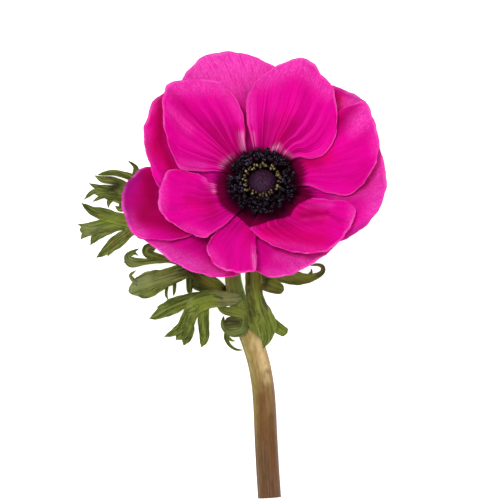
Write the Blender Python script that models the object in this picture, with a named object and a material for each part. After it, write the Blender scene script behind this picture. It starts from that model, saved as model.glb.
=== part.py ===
"""A cut poppy anemone, laid on its back: the head faces up, the stem lies along -Y.

Lengths are in millimetres and angles in degrees until a mesh is made; meshes are in metres, +Z up.
The plan is measured from the middle of the ring of stamens. At the end the whole flower is moved,
so that the origin lies under the middle of its bounding box, on the surface it rests on.
"""

import math
import random
from dataclasses import dataclass

import bpy
import numpy as np
from mathutils import Matrix, Vector
from mathutils.bvhtree import BVHTree

MM = 0.001

# The head is a shallow bowl. Its axis leans towards +Y by this much.
FACE_TILT = 21.0
HEAD = (0.0, -1.3, 26.0)
COLUMN_RADIUS = 3.6
FIT_GAP = 0.36

# Sheets are thicker than life, so that they stay solid.
PETAL_THICKNESS = 0.62
LEAF_THICKNESS = 0.8
PETAL_ROWS = 7
PETAL_COLUMNS = 14

# Stem, from the cut end to the underside of the head: x, y, height of the middle, radius.
STEM_ROUTE = (
    (2.5, -105.6, 3.65, 3.92),
    (1.9, -96.5, 3.65, 3.90),
    (1.3, -85.3, 3.65, 3.88),
    (0.8, -74.7, 3.70, 3.85),
    (0.0, -66.7, 4.10, 3.80),
    (-1.6, -59.0, 4.80, 3.75),
    (-4.3, -51.0, 5.9, 3.65),
    (-6.9, -43.5, 7.2, 3.45),
    (-8.9, -37.0, 8.6, 3.00),
    (-9.8, -30.5, 9.9, 2.70),
    (-9.0, -23.0, 10.9, 2.65),
    (-6.2, -15.5, 11.6, 2.65),
    (-2.9, -9.4, 12.9, 2.70),
)
STEM_SIDES = 18
STEM_RINGS = 27

# Receptacle, along the axis of the head: distance from the level of the stamens, radius.
RECEPTACLE = ((-10.2, 2.9), (-9.0, 4.3), (-7.9, 4.6), (-7.4, 3.6), (0.6, 3.6))


@dataclass
class Petal:
    """One tepal: where its margin passes in plan, anticlockwise from one side of the claw."""

    name: str
    claw: float  # azimuth of the claw, anticlockwise from +X
    rise: float  # how much higher than the flat blade it stands, 40 mm out
    cup: float  # how much the two sides turn up
    side: float  # how much of the outline is one side edge
    margin: tuple


INNER_SEAT, OUTER_SEAT = -4.7, -6.4
INNER_PITCH, OUTER_PITCH = 9.0, 5.0
INNER_CLAW, OUTER_CLAW = 3.0, 2.5
LIFT_SLOPE = 0.6
FULL_REACH = 40.0

# From the lowest petal to the topmost one.
PETALS = (
    Petal("petal_outer_5", 301.7, 12, 2.0, 0.3, (
        (-6.5, -13), (-7.3, -21), (-4.7, -27), (0, -31), (4.7, -32), (10.7, -30.7), (17, -27.3),
        (21.3, -24.3), (27, -19), (30, -15), (28.7, -10.3), (22.7, -7))),
    Petal("petal_outer_6", 353.1, 9, 2.0, 0.3, (
        (21, -19.5), (26.7, -19.7), (31, -17.3), (34.3, -15), (38, -10.7), (40.3, -6),
        (41.3, -1.7), (41.3, 1.7), (40.3, 7), (39, 11.3), (35, 16), (28, 16))),
    Petal("petal_outer_7", 44.6, 6, 2.0, 0.3, (
        (27, 12), (32, 17), (34.6, 22.5), (35.2, 25), (33.9, 27.1), (29.6, 29.6),
        (24, 31.8), (17, 32), (13.5, 29), (11.5, 23.7))),
    Petal("petal_outer_1", 96.0, 4, 2.0, 0.3, (
        (7, 21), (9.3, 29), (7.7, 35.3), (3.7, 38.6), (-0.7, 41), (-5.7, 42.7), (-9.7, 43.4),
        (-13.3, 43.3), (-18.7, 42.3), (-22.5, 39.5), (-26, 35.3), (-28, 28.7), (-24, 20.3))),
    Petal("petal_outer_4", 250.3, 11, 2.0, 0.3, (
        (-31, -12), (-38, -15.5), (-41.5, -18.3), (-38, -20.4), (-34.9, -22.6), (-31.2, -25.8),
        (-26.7, -28.4), (-22.3, -30.3), (-14.3, -32), (-8, -31), (-5, -27), (-5, -20))),
    Petal("petal_outer_3", 198.9, 10, 2.0, 0.3, (
        (-31, 3.4), (-38.3, 4.6), (-42.3, 2.3), (-46, -3), (-46.4, -8.3), (-44.7, -13.7),
        (-42, -18.3), (-37.3, -19.3), (-30.7, -19.7), (-25.7, -19), (-20, -16))),
    Petal("petal_outer_2", 147.4, 9, 2.0, 0.3, (
        (-18, 26), (-26, 32), (-32.3, 29.7), (-36.5, 26.3), (-38.3, 21), (-39.2, 18.3),
        (-39.4, 14.7), (-39, 11.3), (-37.3, 5.3), (-34.3, -2.3), (-29, -7), (-21, -7))),
    Petal("petal_inner_5", 257.5, 15, 2.0, 0.3, (
        (-12, -13), (-15.7, -17.5), (-17.9, -21.2), (-17.9, -24), (-15.5, -28), (-12.7, -29.4),
        (-9, -30.3), (-6.7, -30.5), (-4.3, -30.3), (-2, -29.2), (-1.9, -24.7), (-2.2, -19), (-0.2, -13.4))),
    Petal("petal_inner_6", 197.5, 12, 2.0, 0.3, (
        (-16.4, -0.9), (-18.6, 1.0), (-22, 2.5), (-25.7, 3.4), (-30.7, 3.7), (-33.3, -0.7), (-34.4, -6.7),
        (-33, -11.3), (-27.3, -15.7), (-19.3, -19), (-16.3, -17.2), (-12.7, -15), (-10, -12.5))),
    Petal("petal_inner_4", 317.5, 16, 0.5, 0.3, (
        (-3.9, -15), (-3, -17), (1.7, -20.5), (9.3, -23.4), (15.7, -24.1), (22, -23),
        (27, -18.5), (30.7, -12), (30.6, -9.4), (28, -6.8), (21.5, -6.2))),
    Petal("petal_inner_3", 17.5, 11, 1.0, 0.3, (
        (14, -1.6), (21, -3.8), (28.3, -4.8), (33.3, -1.1), (37, 4.3), (38.6, 9), (38.9, 13),
        (38, 17.8), (36.6, 21.5), (35.8, 24.4), (33.8, 26.3), (30, 25.6), (25.7, 23.2), (20, 18.5),
        (14, 12))),
    Petal("petal_inner_1", 137.5, 13, 2.0, 0.3, (
        (-5.3, 11.3), (-5.6, 17.7), (-7.3, 25), (-11.3, 30.3), (-16.3, 33.4), (-24, 33.8),
        (-30.9, 32.4), (-32.8, 28.7), (-33, 23), (-32.4, 17), (-30.3, 10.3), (-27, 4.1),
        (-20.7, 3.2), (-11.8, 2.8))),
    Petal("petal_inner_2", 77.5, 13, 2.0, 0.3, (
        (11, 7.5), (16.5, 7.2), (21, 9.2), (24.2, 14), (25, 22), (24, 29.6), (22, 33.4),
        (19.3, 35.9), (16.9, 39.6), (11.7, 40.9), (4.3, 37.9), (-2, 32.9), (-5.1, 27), (-5, 20),
        (-3, 11.5))),
)

# Stamens: how many, from what radius, to what radius and height above the column's zero.
OUTER_STAMENS = 63
INNER_STAMENS = 26
DOME_RADIUS = 4.9
DOME_HEIGHT = 3.9
DOME_BASE = 0.98

MAGENTA = (0.72, 0.001, 0.25)
DEEP_MAGENTA = (0.52, 0.001, 0.2)
LEAF_GREEN = (0.13, 0.16, 0.035)


@dataclass
class Lobe:
    """A strip of leaf: stations of x, y, height and width, and its bank about its own line."""

    stations: tuple
    bank: tuple = (0, 0)
    fold: float = 0.12  # how deep the crease along the midrib is, as a share of the width


# Each leaf is a fan of strips: the first is the rachis, the others grow out of an earlier one.
LEAVES = {
    "leaf_left": (
        Lobe(((-13.3, -36, 8.3, 3.2), (-18, -33.4, 7.0, 5.4), (-23, -29.5, 5.6, 4.5),
              (-29.5, -24, 3.6, 3.8), (-35.5, -18, 1.8, 4), (-40, -14.5, 1.0, 5),
              (-44, -13.8, 0.8, 6))),
        Lobe(((-43, -13.6, 0.9, 5), (-48, -12.6, 1.3, 4.2), (-53, -11, 1.2, 4.2),
              (-57, -9.8, 0.8, 3), (-60.7, -7.2, 0.5, 0.7))),
        Lobe(((-43, -14, 0.8, 5), (-48, -14.2, 1.1, 4.6), (-53, -14.9, 0.9, 4.4),
              (-58, -16, 0.5, 4.4), (-61.3, -16.2, 0.4, 1.8))),
        Lobe(((-57, -15, 0.6, 3), (-59.8, -14.9, 0.5, 1.7), (-61.9, -14.3, 0.4, 0.7))),
        Lobe(((-57.5, -16.6, 0.6, 3.2), (-59.6, -17.9, 0.5, 2), (-61, -19.5, 0.4, 0.7))),
        Lobe(((-48, -15, 1.0, 3), (-52.5, -16.3, 0.8, 3.6), (-55.6, -18.3, 0.5, 3.2),
              (-57.7, -21.3, 0.4, 0.8))),
        Lobe(((-41.5, -14.5, 1.0, 4), (-45, -17.3, 1.3, 3.6), (-48.7, -20.1, 1.4, 4.6),
              (-52, -22.9, 0.9, 3.2), (-55.7, -25.6, 0.4, 0.7))),
        Lobe(((-50.3, -22.7, 1.1, 1.8), (-51.9, -25.1, 0.7, 0.7))),
        Lobe(((-37, -16.5, 1.6, 4), (-41, -10.5, 1.3, 3.6), (-43.5, -5, 1.2, 5),
              (-45.5, -1.5, 1.6, 4))),
        Lobe(((-42.8, -3, 1.4, 3), (-42.6, 1.5, 1.9, 2.4), (-42.3, 4.2, 2.4, 1.9),
              (-43.2, 5.7, 3.0, 1), (-45, 7, 3.6, 0.6))),
        Lobe(((-43, -3.5, 1.5, 3), (-43.5, 0.8, 2.6, 2.6), (-46.5, 2.3, 3.4, 2.2),
              (-50, 3.0, 3.4, 2.0), (-53, 2.6, 2.8, 1.4), (-55.2, 2.3, 2.2, 0.6))),
        Lobe(((-44, -3.5, 1.4, 3), (-47, -0.7, 1.6, 2.4), (-50.5, 0.4, 1.6, 2.7),
              (-53.6, 0.7, 1.3, 2.2), (-56.3, 2.1, 1.0, 0.6))),
        Lobe(((-42.5, -6, 1.3, 6), (-46, -4.5, 1.7, 7), (-50, -3.8, 1.6, 5.5),
              (-53.5, -3.3, 1.1, 4.2), (-56.3, -3.2, 0.8, 2.6))),
        Lobe(((-51, -2.6, 1.5, 3), (-55, -1.9, 1.1, 1.8), (-58.2, -0.6, 0.8, 0.6))),
        Lobe(((-53, -3.3, 1.2, 3), (-56.5, -3.4, 0.8, 1.8), (-58.4, -4.7, 0.5, 1.1),
              (-59.8, -6.1, 0.4, 0.6))),
        Lobe(((-50, -4.8, 1.4, 2.2), (-53.5, -5, 0.9, 1.5), (-57, -6.8, 0.4, 0.6))),
        Lobe(((-48.5, -4.5, 1.7, 3), (-50.8, -6, 1.3, 2), (-51.6, -7.6, 0.9, 1.2),
              (-51.5, -8.9, 0.5, 0.6))),
        Lobe(((-44, -6, 1.4, 5), (-46, -8, 1.2, 3.6), (-48, -9, 0.8, 2.2), (-49.3, -8.2, 0.6, 0.9))),
        Lobe(((-24, -28.6, 5.4, 3.4), (-30, -26.6, 5.6, 1.8), (-35, -26.6, 5.8, 1.8),
              (-40, -27, 5.6, 2.4), (-43.8, -27, 5.0, 3.6), (-45.2, -25.2, 5.2, 2.2),
              (-43.8, -23.9, 6.0, 1.4), (-41.2, -22.5, 6.8, 0.6))),
        Lobe(((-43, -28, 4.8, 1.6), (-46.6, -26.9, 4.2, 0.6))),
        Lobe(((-44.5, -24.6, 5.6, 1.8), (-42.8, -24, 6.2, 1.2), (-41.5, -24.9, 6.2, 0.6))),
        Lobe(((-31, -26.3, 5.8, 2), (-35.5, -25.2, 6.6, 2.6), (-38.4, -24.2, 7.4, 3.0),
              (-38.2, -22.4, 8.4, 3.0), (-35.5, -22.3, 8.8, 2.4))),
        Lobe(((-23, -30, 5.6, 3.4), (-28, -30.8, 5.8, 5.4), (-33, -32.7, 6.0, 6.6),
              (-38, -34.4, 5.6, 8.4), (-41.6, -35.8, 4.8, 6.2), (-44.8, -37, 4.0, 1.6))),
        Lobe(((-41.5, -34.4, 5.2, 2), (-43.2, -33, 6.2, 1.4), (-44, -31.3, 7.4, 1.1),
              (-42.2, -29.9, 8.2, 0.6))),
        Lobe(((-36, -36.5, 5.3, 3.2), (-39, -38.2, 4.5, 2.2), (-42, -38.3, 3.9, 1))),
        Lobe(((-31.8, -35, 5.6, 1.2), (-32.1, -38, 4.2, 0.9), (-31.5, -39.7, 3.2, 0.7))),
        Lobe(((-29.2, -34, 5.6, 1.4), (-29.4, -36.5, 4.4, 1.1), (-29.7, -38.4, 3.4, 0.8))),
        Lobe(((-24, -30, 5.4, 2.4), (-24.3, -33.5, 4.8, 2.2), (-24.3, -37.6, 4.0, 1.8))),
    ),
    "leaf_lower": (
        Lobe(((-6.8, -38.6, 12.4, 1.6), (-9.2, -39.2, 12.8, 3.8), (-13, -39.3, 12.0, 5.4),
              (-17.5, -39.3, 10.2, 6.6), (-21.5, -40.8, 8.8, 6.2), (-23.6, -43.8, 7.2, 5.2),
              (-25.4, -47.6, 5.6, 5.2), (-26.8, -50.6, 4.2, 4.6), (-28.9, -53.3, 3, 1.2))),
        Lobe(((-26, -47.6, 5.4, 3.4), (-29, -50.3, 4.2, 2.6), (-32.9, -52.2, 3, 0.7))),
        Lobe(((-24.4, -47.4, 5.6, 4), (-25, -51.4, 4.2, 4), (-26.3, -55.1, 2.8, 1.2))),
        Lobe(((-22.5, -41.6, 8.4, 3.2), (-25.2, -43.2, 7.4, 1.8), (-26.2, -44, 6.8, 0.7))),
        Lobe(((-19.5, -41, 9.2, 4.4), (-19.6, -45, 7.4, 3.8), (-19.5, -49, 5.8, 3.6),
              (-19.4, -52.6, 4.4, 3.2), (-20.4, -55.8, 3.2, 0.8))),
        Lobe(((-19.5, -38.8, 9.2, 4), (-24, -39.6, 7.6, 4.4), (-28.5, -41.2, 6.0, 5.2),
              (-32.5, -43.2, 4.2, 4.8), (-35.3, -45, 3, 2.8), (-37.9, -46.1, 2.2, 0.7))),
        Lobe(((-30.5, -40.9, 5.2, 2.2), (-33, -41.6, 4.2, 1.6), (-35.4, -42.3, 3.4, 0.7))),
        Lobe(((-14.5, -40.8, 11.2, 2.6), (-12.5, -43.2, 11.4, 2.6), (-9, -43.8, 11.9, 3.2),
              (-5.6, -44.9, 11.8, 2.8), (-5.4, -48, 11.5, 2.4), (-7.4, -50.6, 11.2, 2.6),
              (-10.6, -50.5, 11.2, 2.6), (-12.9, -48.4, 11.4, 1.8), (-12.9, -45.2, 11.8, 1.2))),
        Lobe(((-5.8, -46.8, 11.5, 3.2), (-9, -47.3, 11.2, 5), (-12.5, -47.4, 10.8, 3))),
        Lobe(((-11.5, -50.4, 10.9, 2.6), (-12, -52.4, 10, 1.6), (-11, -54.6, 9, 1.1),
              (-9, -56.2, 8.4, 0.9), (-6.3, -56.6, 8.2, 0.6))),
        Lobe(((-11.8, -52, 10.2, 1.4), (-10.2, -53.2, 9.8, 0.9), (-8.9, -53.5, 9.6, 0.6))),
    ),
    "leaf_right": (
        Lobe(((-2.8, -24, 13.0, 4.6), (-2.8, -30, 13.2, 5.6), (-2.7, -36, 13.2, 5.6),
              (-1.8, -41, 13.2, 6.2), (-0.5, -45.3, 12.9, 8.6), (0.8, -48.6, 12.4, 8.6),
              (1.4, -51.4, 11.2, 5), (1.3, -53.4, 10.2, 3), (0.5, -55.9, 9.2, 0.8))),
        Lobe(((1.8, -46.6, 12, 4), (5, -48.8, 10.6, 3.8), (8.4, -51, 9, 3.2))),
        Lobe(((-2.2, -44, 13.0, 4), (-3.2, -47.2, 12.9, 2.8), (-4.2, -49.8, 12.7, 1))),
        Lobe(((-1.5, -36.6, 12.7, 4), (-2.0, -37.5, 11, 3.2), (-3.1, -38.5, 8.8, 2.8))),
        Lobe(((-1.5, -33, 12.8, 4), (2, -34.2, 12, 5.5), (5, -35.6, 11, 4.4), (7.4, -36.4, 10.4, 2.4))),
        Lobe(((-1, -31.5, 12.8, 3.6), (4, -31.2, 11.2, 4), (8, -32.2, 9.4, 4.2),
              (12, -32.5, 7.6, 4.4), (15.5, -32.5, 6, 3.2), (18.6, -31.6, 4.8, 2.0),
              (20.4, -30.2, 4.6, 1.6), (20.3, -28.6, 4.8, 1.4), (18.6, -27.9, 5.2, 1.0),
              (16.2, -28.2, 5.4, 0.6))),
        Lobe(((16, -31.6, 5.6, 1.6), (16.6, -30.3, 6.0, 1.0), (16.5, -29.2, 6.2, 0.6))),
        Lobe(((-2, -27, 12.8, 4.2), (4, -22, 10, 4.5), (10, -14, 6, 4.5), (16, -5, 2.4, 5),
              (21, 4, 0.7, 4.6), (24, 12, 0.4, 2))),
        Lobe(((8, -17, 7.2, 3), (16, -14, 4, 4), (24, -12, 1.4, 3.4), (30, -11, 0.4, 1))),
        Lobe(((12, -11, 4.8, 3.4), (14, 0, 1.4, 4), (13, 9, 0.4, 1.2))),
    ),
}


def main():
    clear_scene()
    nodes = [stem()]
    nodes += petals()
    nodes += [outer_stamens(), inner_stamens(), pistil()]
    nodes += [leaf(name, lobes) for name, lobes in LEAVES.items()]
    stand_on_origin(nodes)


def clear_scene():
    for obj in list(bpy.data.objects):
        bpy.data.objects.remove(obj)


# Meshes


def closed_mesh(name, points, faces):
    """A mesh of triangles, in metres, with its faces turned outwards."""
    points = np.asarray(points, float)
    corners = points[np.array(faces)]
    volume = np.einsum("ij,ij->i", corners[:, 0], np.cross(corners[:, 1], corners[:, 2])).sum()
    if volume < 0:
        faces = [face[::-1] for face in faces]
    mesh = bpy.data.meshes.new(name)
    mesh.from_pydata((points * MM).tolist(), [], [tuple(face) for face in faces])
    return mesh


def node(name, points, faces, color, roughness=0.6):
    """An object with its own material, made from points in millimetres."""
    mesh = closed_mesh(name, points, faces)
    obj = bpy.data.objects.new(name, mesh)
    bpy.context.scene.collection.objects.link(obj)
    material = bpy.data.materials.new(name)
    material.use_nodes = True
    shader = material.node_tree.nodes["Principled BSDF"]
    shader.inputs["Base Color"].default_value = (*color, 1.0)
    shader.inputs["Roughness"].default_value = roughness
    mesh.materials.append(material)
    return obj


def fused(name, solids, color, roughness=0.6):
    """One closed body made of many small ones that run into each other."""
    group = bpy.data.collections.new(name + "_pieces")
    bpy.context.scene.collection.children.link(group)
    whole = node(name, *solids[0], color, roughness)
    if len(solids) == 1:
        return whole
    for index, (points, faces) in enumerate(solids[1:]):
        mesh = closed_mesh(f"{name}_piece_{index}", points, faces)
        group.objects.link(bpy.data.objects.new(mesh.name, mesh))
    union = whole.modifiers.new("union", "BOOLEAN")
    union.operation = "UNION"
    union.operand_type = "COLLECTION"
    union.collection = group
    union.solver = "MANIFOLD"
    bpy.context.view_layer.update()
    graph = bpy.context.evaluated_depsgraph_get()
    merged = bpy.data.meshes.new_from_object(whole.evaluated_get(graph))
    whole.modifiers.remove(union)
    whole.data = merged
    for piece in list(group.objects):
        bpy.data.objects.remove(piece)
    bpy.data.collections.remove(group)
    return whole


def head_point(across, along, height):
    """A point of the head's own frame, in the frame of the flower."""
    tilt = math.radians(FACE_TILT)
    return np.array((
        HEAD[0] + across,
        HEAD[1] + along * math.cos(tilt) + height * math.sin(tilt),
        HEAD[2] - along * math.sin(tilt) + height * math.cos(tilt),
    ))


def smooth_curve(points, count, even=True):
    """Points at even steps along a smooth curve through the given ones."""
    points = np.asarray(points, float)
    ends = np.vstack([2 * points[0] - points[1], points, 2 * points[-1] - points[-2]])
    fine = []
    for index in range(len(points) - 1):
        p0, p1, p2, p3 = ends[index:index + 4]
        for t in np.linspace(0, 1, 24, endpoint=False):
            fine.append(0.5 * (
                2 * p1 + (p2 - p0) * t + (2 * p0 - 5 * p1 + 4 * p2 - p3) * t * t
                + (3 * p1 - p0 - 3 * p2 + p3) * t ** 3
            ))
    fine = np.array(fine + [points[-1]])
    if not even:
        return fine[np.round(np.linspace(0, len(fine) - 1, count)).astype(int)]
    steps = np.linalg.norm(np.diff(fine[:, :3], axis=0), axis=1)
    travel = np.concatenate([[0], np.cumsum(steps)])
    wanted = np.linspace(0, travel[-1], count)
    return np.stack([np.interp(wanted, travel, column) for column in fine.T], axis=1)


def tube(centres, radii, ups, sides):
    """A closed tube of rings, and a centre point in each end."""
    points = []
    faces = []
    directions = np.gradient(centres, axis=0)
    directions /= np.linalg.norm(directions, axis=1)[:, None]
    for centre, radius, direction, up in zip(centres, radii, directions, ups):
        side = np.cross(direction, up)
        side /= np.linalg.norm(side)
        over = np.cross(side, direction)
        for k in range(sides):
            turn = 2 * math.pi * (k + 0.5) / sides
            points.append(centre + radius * (math.cos(turn) * side + math.sin(turn) * over))
    rings = len(centres)
    for ring in range(rings - 1):
        for k in range(sides):
            a = ring * sides + k
            b = ring * sides + (k + 1) % sides
            faces += [(a, b, b + sides), (a, b + sides, a + sides)]
    points += [centres[0], centres[-1]]
    for k in range(sides):
        faces.append(((k + 1) % sides, k, len(points) - 2))
        last = (rings - 1) * sides
        faces.append((last + k, last + (k + 1) % sides, len(points) - 1))
    return np.array(points), faces


# Stem


def stem():
    route = smooth_curve(STEM_ROUTE + tuple(
        (*head_point(0, 0, height), radius) for height, radius in RECEPTACLE[:1]
    ), STEM_RINGS)
    head = np.array([(*head_point(0, 0, height), radius) for height, radius in RECEPTACLE[1:]])
    route = np.vstack([route, head])
    # The rings keep one side to the table, and turn with the bend up into the head.
    directions = np.gradient(route[:, :3], axis=0)
    ups = np.array([np.cross(np.cross(d, (0.0, -0.35, 1.0)), d) for d in directions])
    flip = np.cross(np.cross(directions[-1], (0.0, -1.0, 0.35)), directions[-1])
    for index in range(len(ups)):
        share = max(0.0, directions[index][2] / np.linalg.norm(directions[index]))
        ups[index] = ups[index] / np.linalg.norm(ups[index]) * (1 - share) + share * flip
    points, faces = tube(route[:, :3], route[:, 3], ups, STEM_SIDES)
    points[:, 2] = np.maximum(points[:, 2], 0.0)
    return node("stem", points, faces, (0.16, 0.09, 0.045))


# Petals


def petal_sheet(petal, rows=PETAL_ROWS, columns=PETAL_COLUMNS):
    """The middle of the blade, as a grid of points that fans out from the claw."""
    inner = "inner" in petal.name
    seat, pitch = (INNER_SEAT, INNER_PITCH) if inner else (OUTER_SEAT, OUTER_PITCH)
    half_claw = (INNER_CLAW if inner else OUTER_CLAW) / 2
    tilt = math.radians(FACE_TILT)
    azimuth = math.radians(petal.claw)
    start = COLUMN_RADIUS + FIT_GAP + 0.17
    across = np.linspace(-1, 1, columns + 1)
    claw = np.array([
        head_point(
            start * math.cos(azimuth) - half_claw * u * math.sin(azimuth),
            start * math.sin(azimuth) + half_claw * u * math.cos(azimuth),
            seat,
        )[:2]
        for u in across
    ])
    # The outline runs up one side, over the top and down the other side.
    outline = smooth_curve([(x, y, 0.0) for x, y in (claw[0], *petal.margin, claw[-1])], 301)
    corner = round(300 * petal.side)
    left = outline[np.linspace(0, corner, rows + 1).round().astype(int), :2]
    top = outline[np.linspace(corner, 300 - corner, columns + 1).round().astype(int), :2]
    right = outline[np.linspace(300, 300 - corner, rows + 1).round().astype(int), :2]
    random_waves = random.Random(petal.name)
    phases = [random_waves.uniform(0, 2 * math.pi) for _ in range(3)]
    sheet = np.zeros((rows + 1, columns + 1, 3))
    for j, u in enumerate(across):
        v = (1 + u) / 2
        for i in range(rows + 1):
            t = i / rows
            plan = (
                (1 - t) * claw[j] + t * top[j] + (1 - v) * left[i] + v * right[i]
                - (1 - t) * ((1 - v) * left[0] + v * right[0])
                - t * ((1 - v) * left[-1] + v * right[-1])
            )
            wave = 0.5 * math.sin(5.0 * u + phases[0]) + 0.35 * math.sin(9.0 * u + phases[1])
            extra = petal.cup * abs(u) ** 2.2 * t ** 2 + 0.8 * wave * t ** 3
            height = seat
            for _ in range(12):
                y = (plan[1] - HEAD[1] - height * math.sin(tilt)) / math.cos(tilt)
                x = plan[0] - HEAD[0]
                out = max(0.0, math.hypot(x, y) - start)
                share = out / (FULL_REACH - start)
                height = (
                    seat + out * math.tan(math.radians(pitch)) + petal.rise * share ** 1.7 + extra
                )
            sheet[i, j] = head_point(x, y, height)
    return sheet


def grid_triangles(rows, columns, first=0):
    faces = []
    for i in range(rows):
        for j in range(columns):
            a = first + i * (columns + 1) + j
            b = a + columns + 1
            if j < columns / 2:
                faces += [(a, a + 1, b + 1), (a, b + 1, b)]
            else:
                faces += [(a, a + 1, b), (a + 1, b + 1, b)]
    return faces


def normals_of(sheet):
    along = np.gradient(sheet, axis=0)
    across = np.gradient(sheet, axis=1)
    normals = np.cross(along, across)
    normals /= np.linalg.norm(normals, axis=2)[:, :, None]
    if normals[:, :, 2].sum() < 0:
        normals = -normals
    return normals


def thickened(sheet, thickness):
    """A closed blade, split into triangles alike on both faces."""
    rows, columns = sheet.shape[0] - 1, sheet.shape[1] - 1
    normals = normals_of(sheet)
    above = (sheet + normals * thickness / 2).reshape(-1, 3)
    below = (sheet - normals * thickness / 2).reshape(-1, 3)
    upper = grid_triangles(rows, columns)
    count = len(above)
    faces = upper + [(a + count, c + count, b + count) for a, b, c in upper]
    seen = {}
    for a, b, c in upper:
        for edge in ((a, b), (b, c), (c, a)):
            seen[edge] = True
    for a, b in seen:
        if (b, a) not in seen:
            faces += [(b, a, a + count), (b, a + count, b + count)]
    return np.vstack([above, below]), faces


def eased(lift, sheet):
    """The lift, spread so that it falls off no faster than LIFT_SLOPE in any direction."""
    lift = lift.copy()
    for _ in range(4):
        for axis in (0, 1):
            fall = LIFT_SLOPE * np.linalg.norm(np.diff(sheet[:, :, :2], axis=axis), axis=2)
            lines, falls = np.moveaxis(lift, axis, 0), np.moveaxis(fall, axis, 0)
            for k in range(len(falls)):
                lines[k + 1] = np.maximum(lines[k + 1], lines[k] - falls[k])
            for k in reversed(range(len(falls))):
                lines[k] = np.maximum(lines[k], lines[k + 1] - falls[k])
    return lift


def settle(sheet, below):
    """Lifts a blade off the blades under it, with the lift spread over the blade around."""
    rows, columns = sheet.shape[0] - 1, sheet.shape[1] - 1
    triangles = grid_triangles(rows, columns)
    tree = BVHTree.FromPolygons(below[0].tolist(), below[1])
    ring = [(0.0, 0.0)] + [
        (0.7 * math.cos(k * math.pi / 3), 0.7 * math.sin(k * math.pi / 3)) for k in range(6)
    ]
    lift = np.zeros(sheet.shape[:2])
    need = PETAL_THICKNESS + FIT_GAP + 0.27
    for attempt in range(24):
        raised = sheet.copy()
        raised[:, :, 2] += lift
        normals = normals_of(raised)
        wanted = np.zeros(lift.shape)
        for i in range(rows + 1):
            for j in range(columns + 1):
                x, y, z = raised[i, j]
                for dx, dy in ring:
                    hit, normal, _, _ = tree.ray_cast(Vector((x + dx, y + dy, 500)), (0, 0, -1))
                    if hit is None:
                        continue
                    lean = min(abs(normal.z), abs(normals[i, j, 2]))
                    short = hit.z + need / max(lean, 0.45) - z
                    wanted[i, j] = max(wanted[i, j], short)
        own = BVHTree.FromPolygons(raised.reshape(-1, 3).tolist(), triangles)
        for x, y, z in below[2]:
            hit, normal, face, _ = own.ray_cast(Vector((x, y, 500)), (0, 0, -1))
            if hit is None:
                continue
            short = z + need / max(abs(normal.z), 0.45) - hit.z
            if short > 0:
                for corner in triangles[face]:
                    spot = divmod(corner, columns + 1)
                    wanted[spot] = max(wanted[spot], short)
        wanted[0, :] = 0
        if wanted.max() < 0.02:
            break
        lift = eased(lift + wanted, sheet)
    raised = sheet.copy()
    raised[:, :, 2] += lift
    return raised


def petals():
    made = []
    points = np.zeros((0, 3))
    faces = []
    probes = np.zeros((0, 3))
    for petal in PETALS:
        sheet = petal_sheet(petal)
        if len(faces):
            sheet = settle(sheet, (points, faces, probes))
        rows, columns = sheet.shape[0] - 1, sheet.shape[1] - 1
        triangles = grid_triangles(rows, columns, len(points))
        points = np.vstack([points, sheet.reshape(-1, 3)])
        faces += triangles
        middles = np.array([points[list(face)].mean(axis=0) for face in triangles])
        probes = np.vstack([probes, sheet.reshape(-1, 3), middles])
        color = MAGENTA if "inner" in petal.name else DEEP_MAGENTA
        made.append(node(petal.name, *thickened(sheet, PETAL_THICKNESS), color, 0.5))
    return made


# Stamens and pistil


def lofted(stations, sides, twist=0.0):
    """A small closed body through rings of centre, radius; the last one is a point."""
    points = []
    faces = []
    axis = stations[-1][0] - stations[0][0]
    axis = axis / np.linalg.norm(axis)
    side = np.cross(axis, (0.3, 0.9, 0.1))
    side /= np.linalg.norm(side)
    over = np.cross(axis, side)
    for centre, radius in stations[:-1]:
        for k in range(sides):
            turn = 2 * math.pi * k / sides + twist
            points.append(centre + radius * (math.cos(turn) * side + math.sin(turn) * over))
    points.append(stations[-1][0])
    for ring in range(len(stations) - 2):
        for k in range(sides):
            a = ring * sides + k
            b = ring * sides + (k + 1) % sides
            faces += [(a, b, b + sides), (a, b + sides, a + sides)]
    last = (len(stations) - 2) * sides
    for k in range(sides):
        faces.append((last + k, last + (k + 1) % sides, len(points) - 1))
    for k in range(1, sides - 1):
        faces.append((0, k + 1, k))
    return np.array(points), faces


def collar(inner_radius, outer_radius, low, high, sides):
    """A plain ring about the axis of the head, that the stamens stand on."""
    points = []
    faces = []
    for k in range(sides):
        turn = 2 * math.pi * k / sides
        for radius, height in (
            (inner_radius, low), (outer_radius, low), (outer_radius, high), (inner_radius, high)
        ):
            points.append(head_point(radius * math.cos(turn), radius * math.sin(turn), height))
    for k in range(sides):
        a = 4 * k
        b = 4 * ((k + 1) % sides)
        for m in range(4):
            n = (m + 1) % 4
            faces += [(a + m, b + m, b + n), (a + m, b + n, a + n)]
    return np.array(points), faces


def stamen(azimuth, root, foot, end, top, size, rng):
    """A filament from the collar, and the anther at its end."""
    def at(radius, height, turn=0.0):
        angle = azimuth + turn
        return head_point(radius * math.cos(angle), radius * math.sin(angle), height)

    swing = rng.uniform(-0.06, 0.06)
    neck = at(end - 0.35 * size, top - 0.75 * size, swing)
    tip = at(end + 0.35 * size, top + 0.75 * size, swing)
    middle = (neck + tip) / 2
    return lofted((
        (at(root, foot), 0.26),
        (neck, 0.3),
        (middle * 0.9 + tip * 0.1, 0.58 * size),
        (tip, 0.0),
    ), 4, rng.uniform(0, 1.5))


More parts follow.
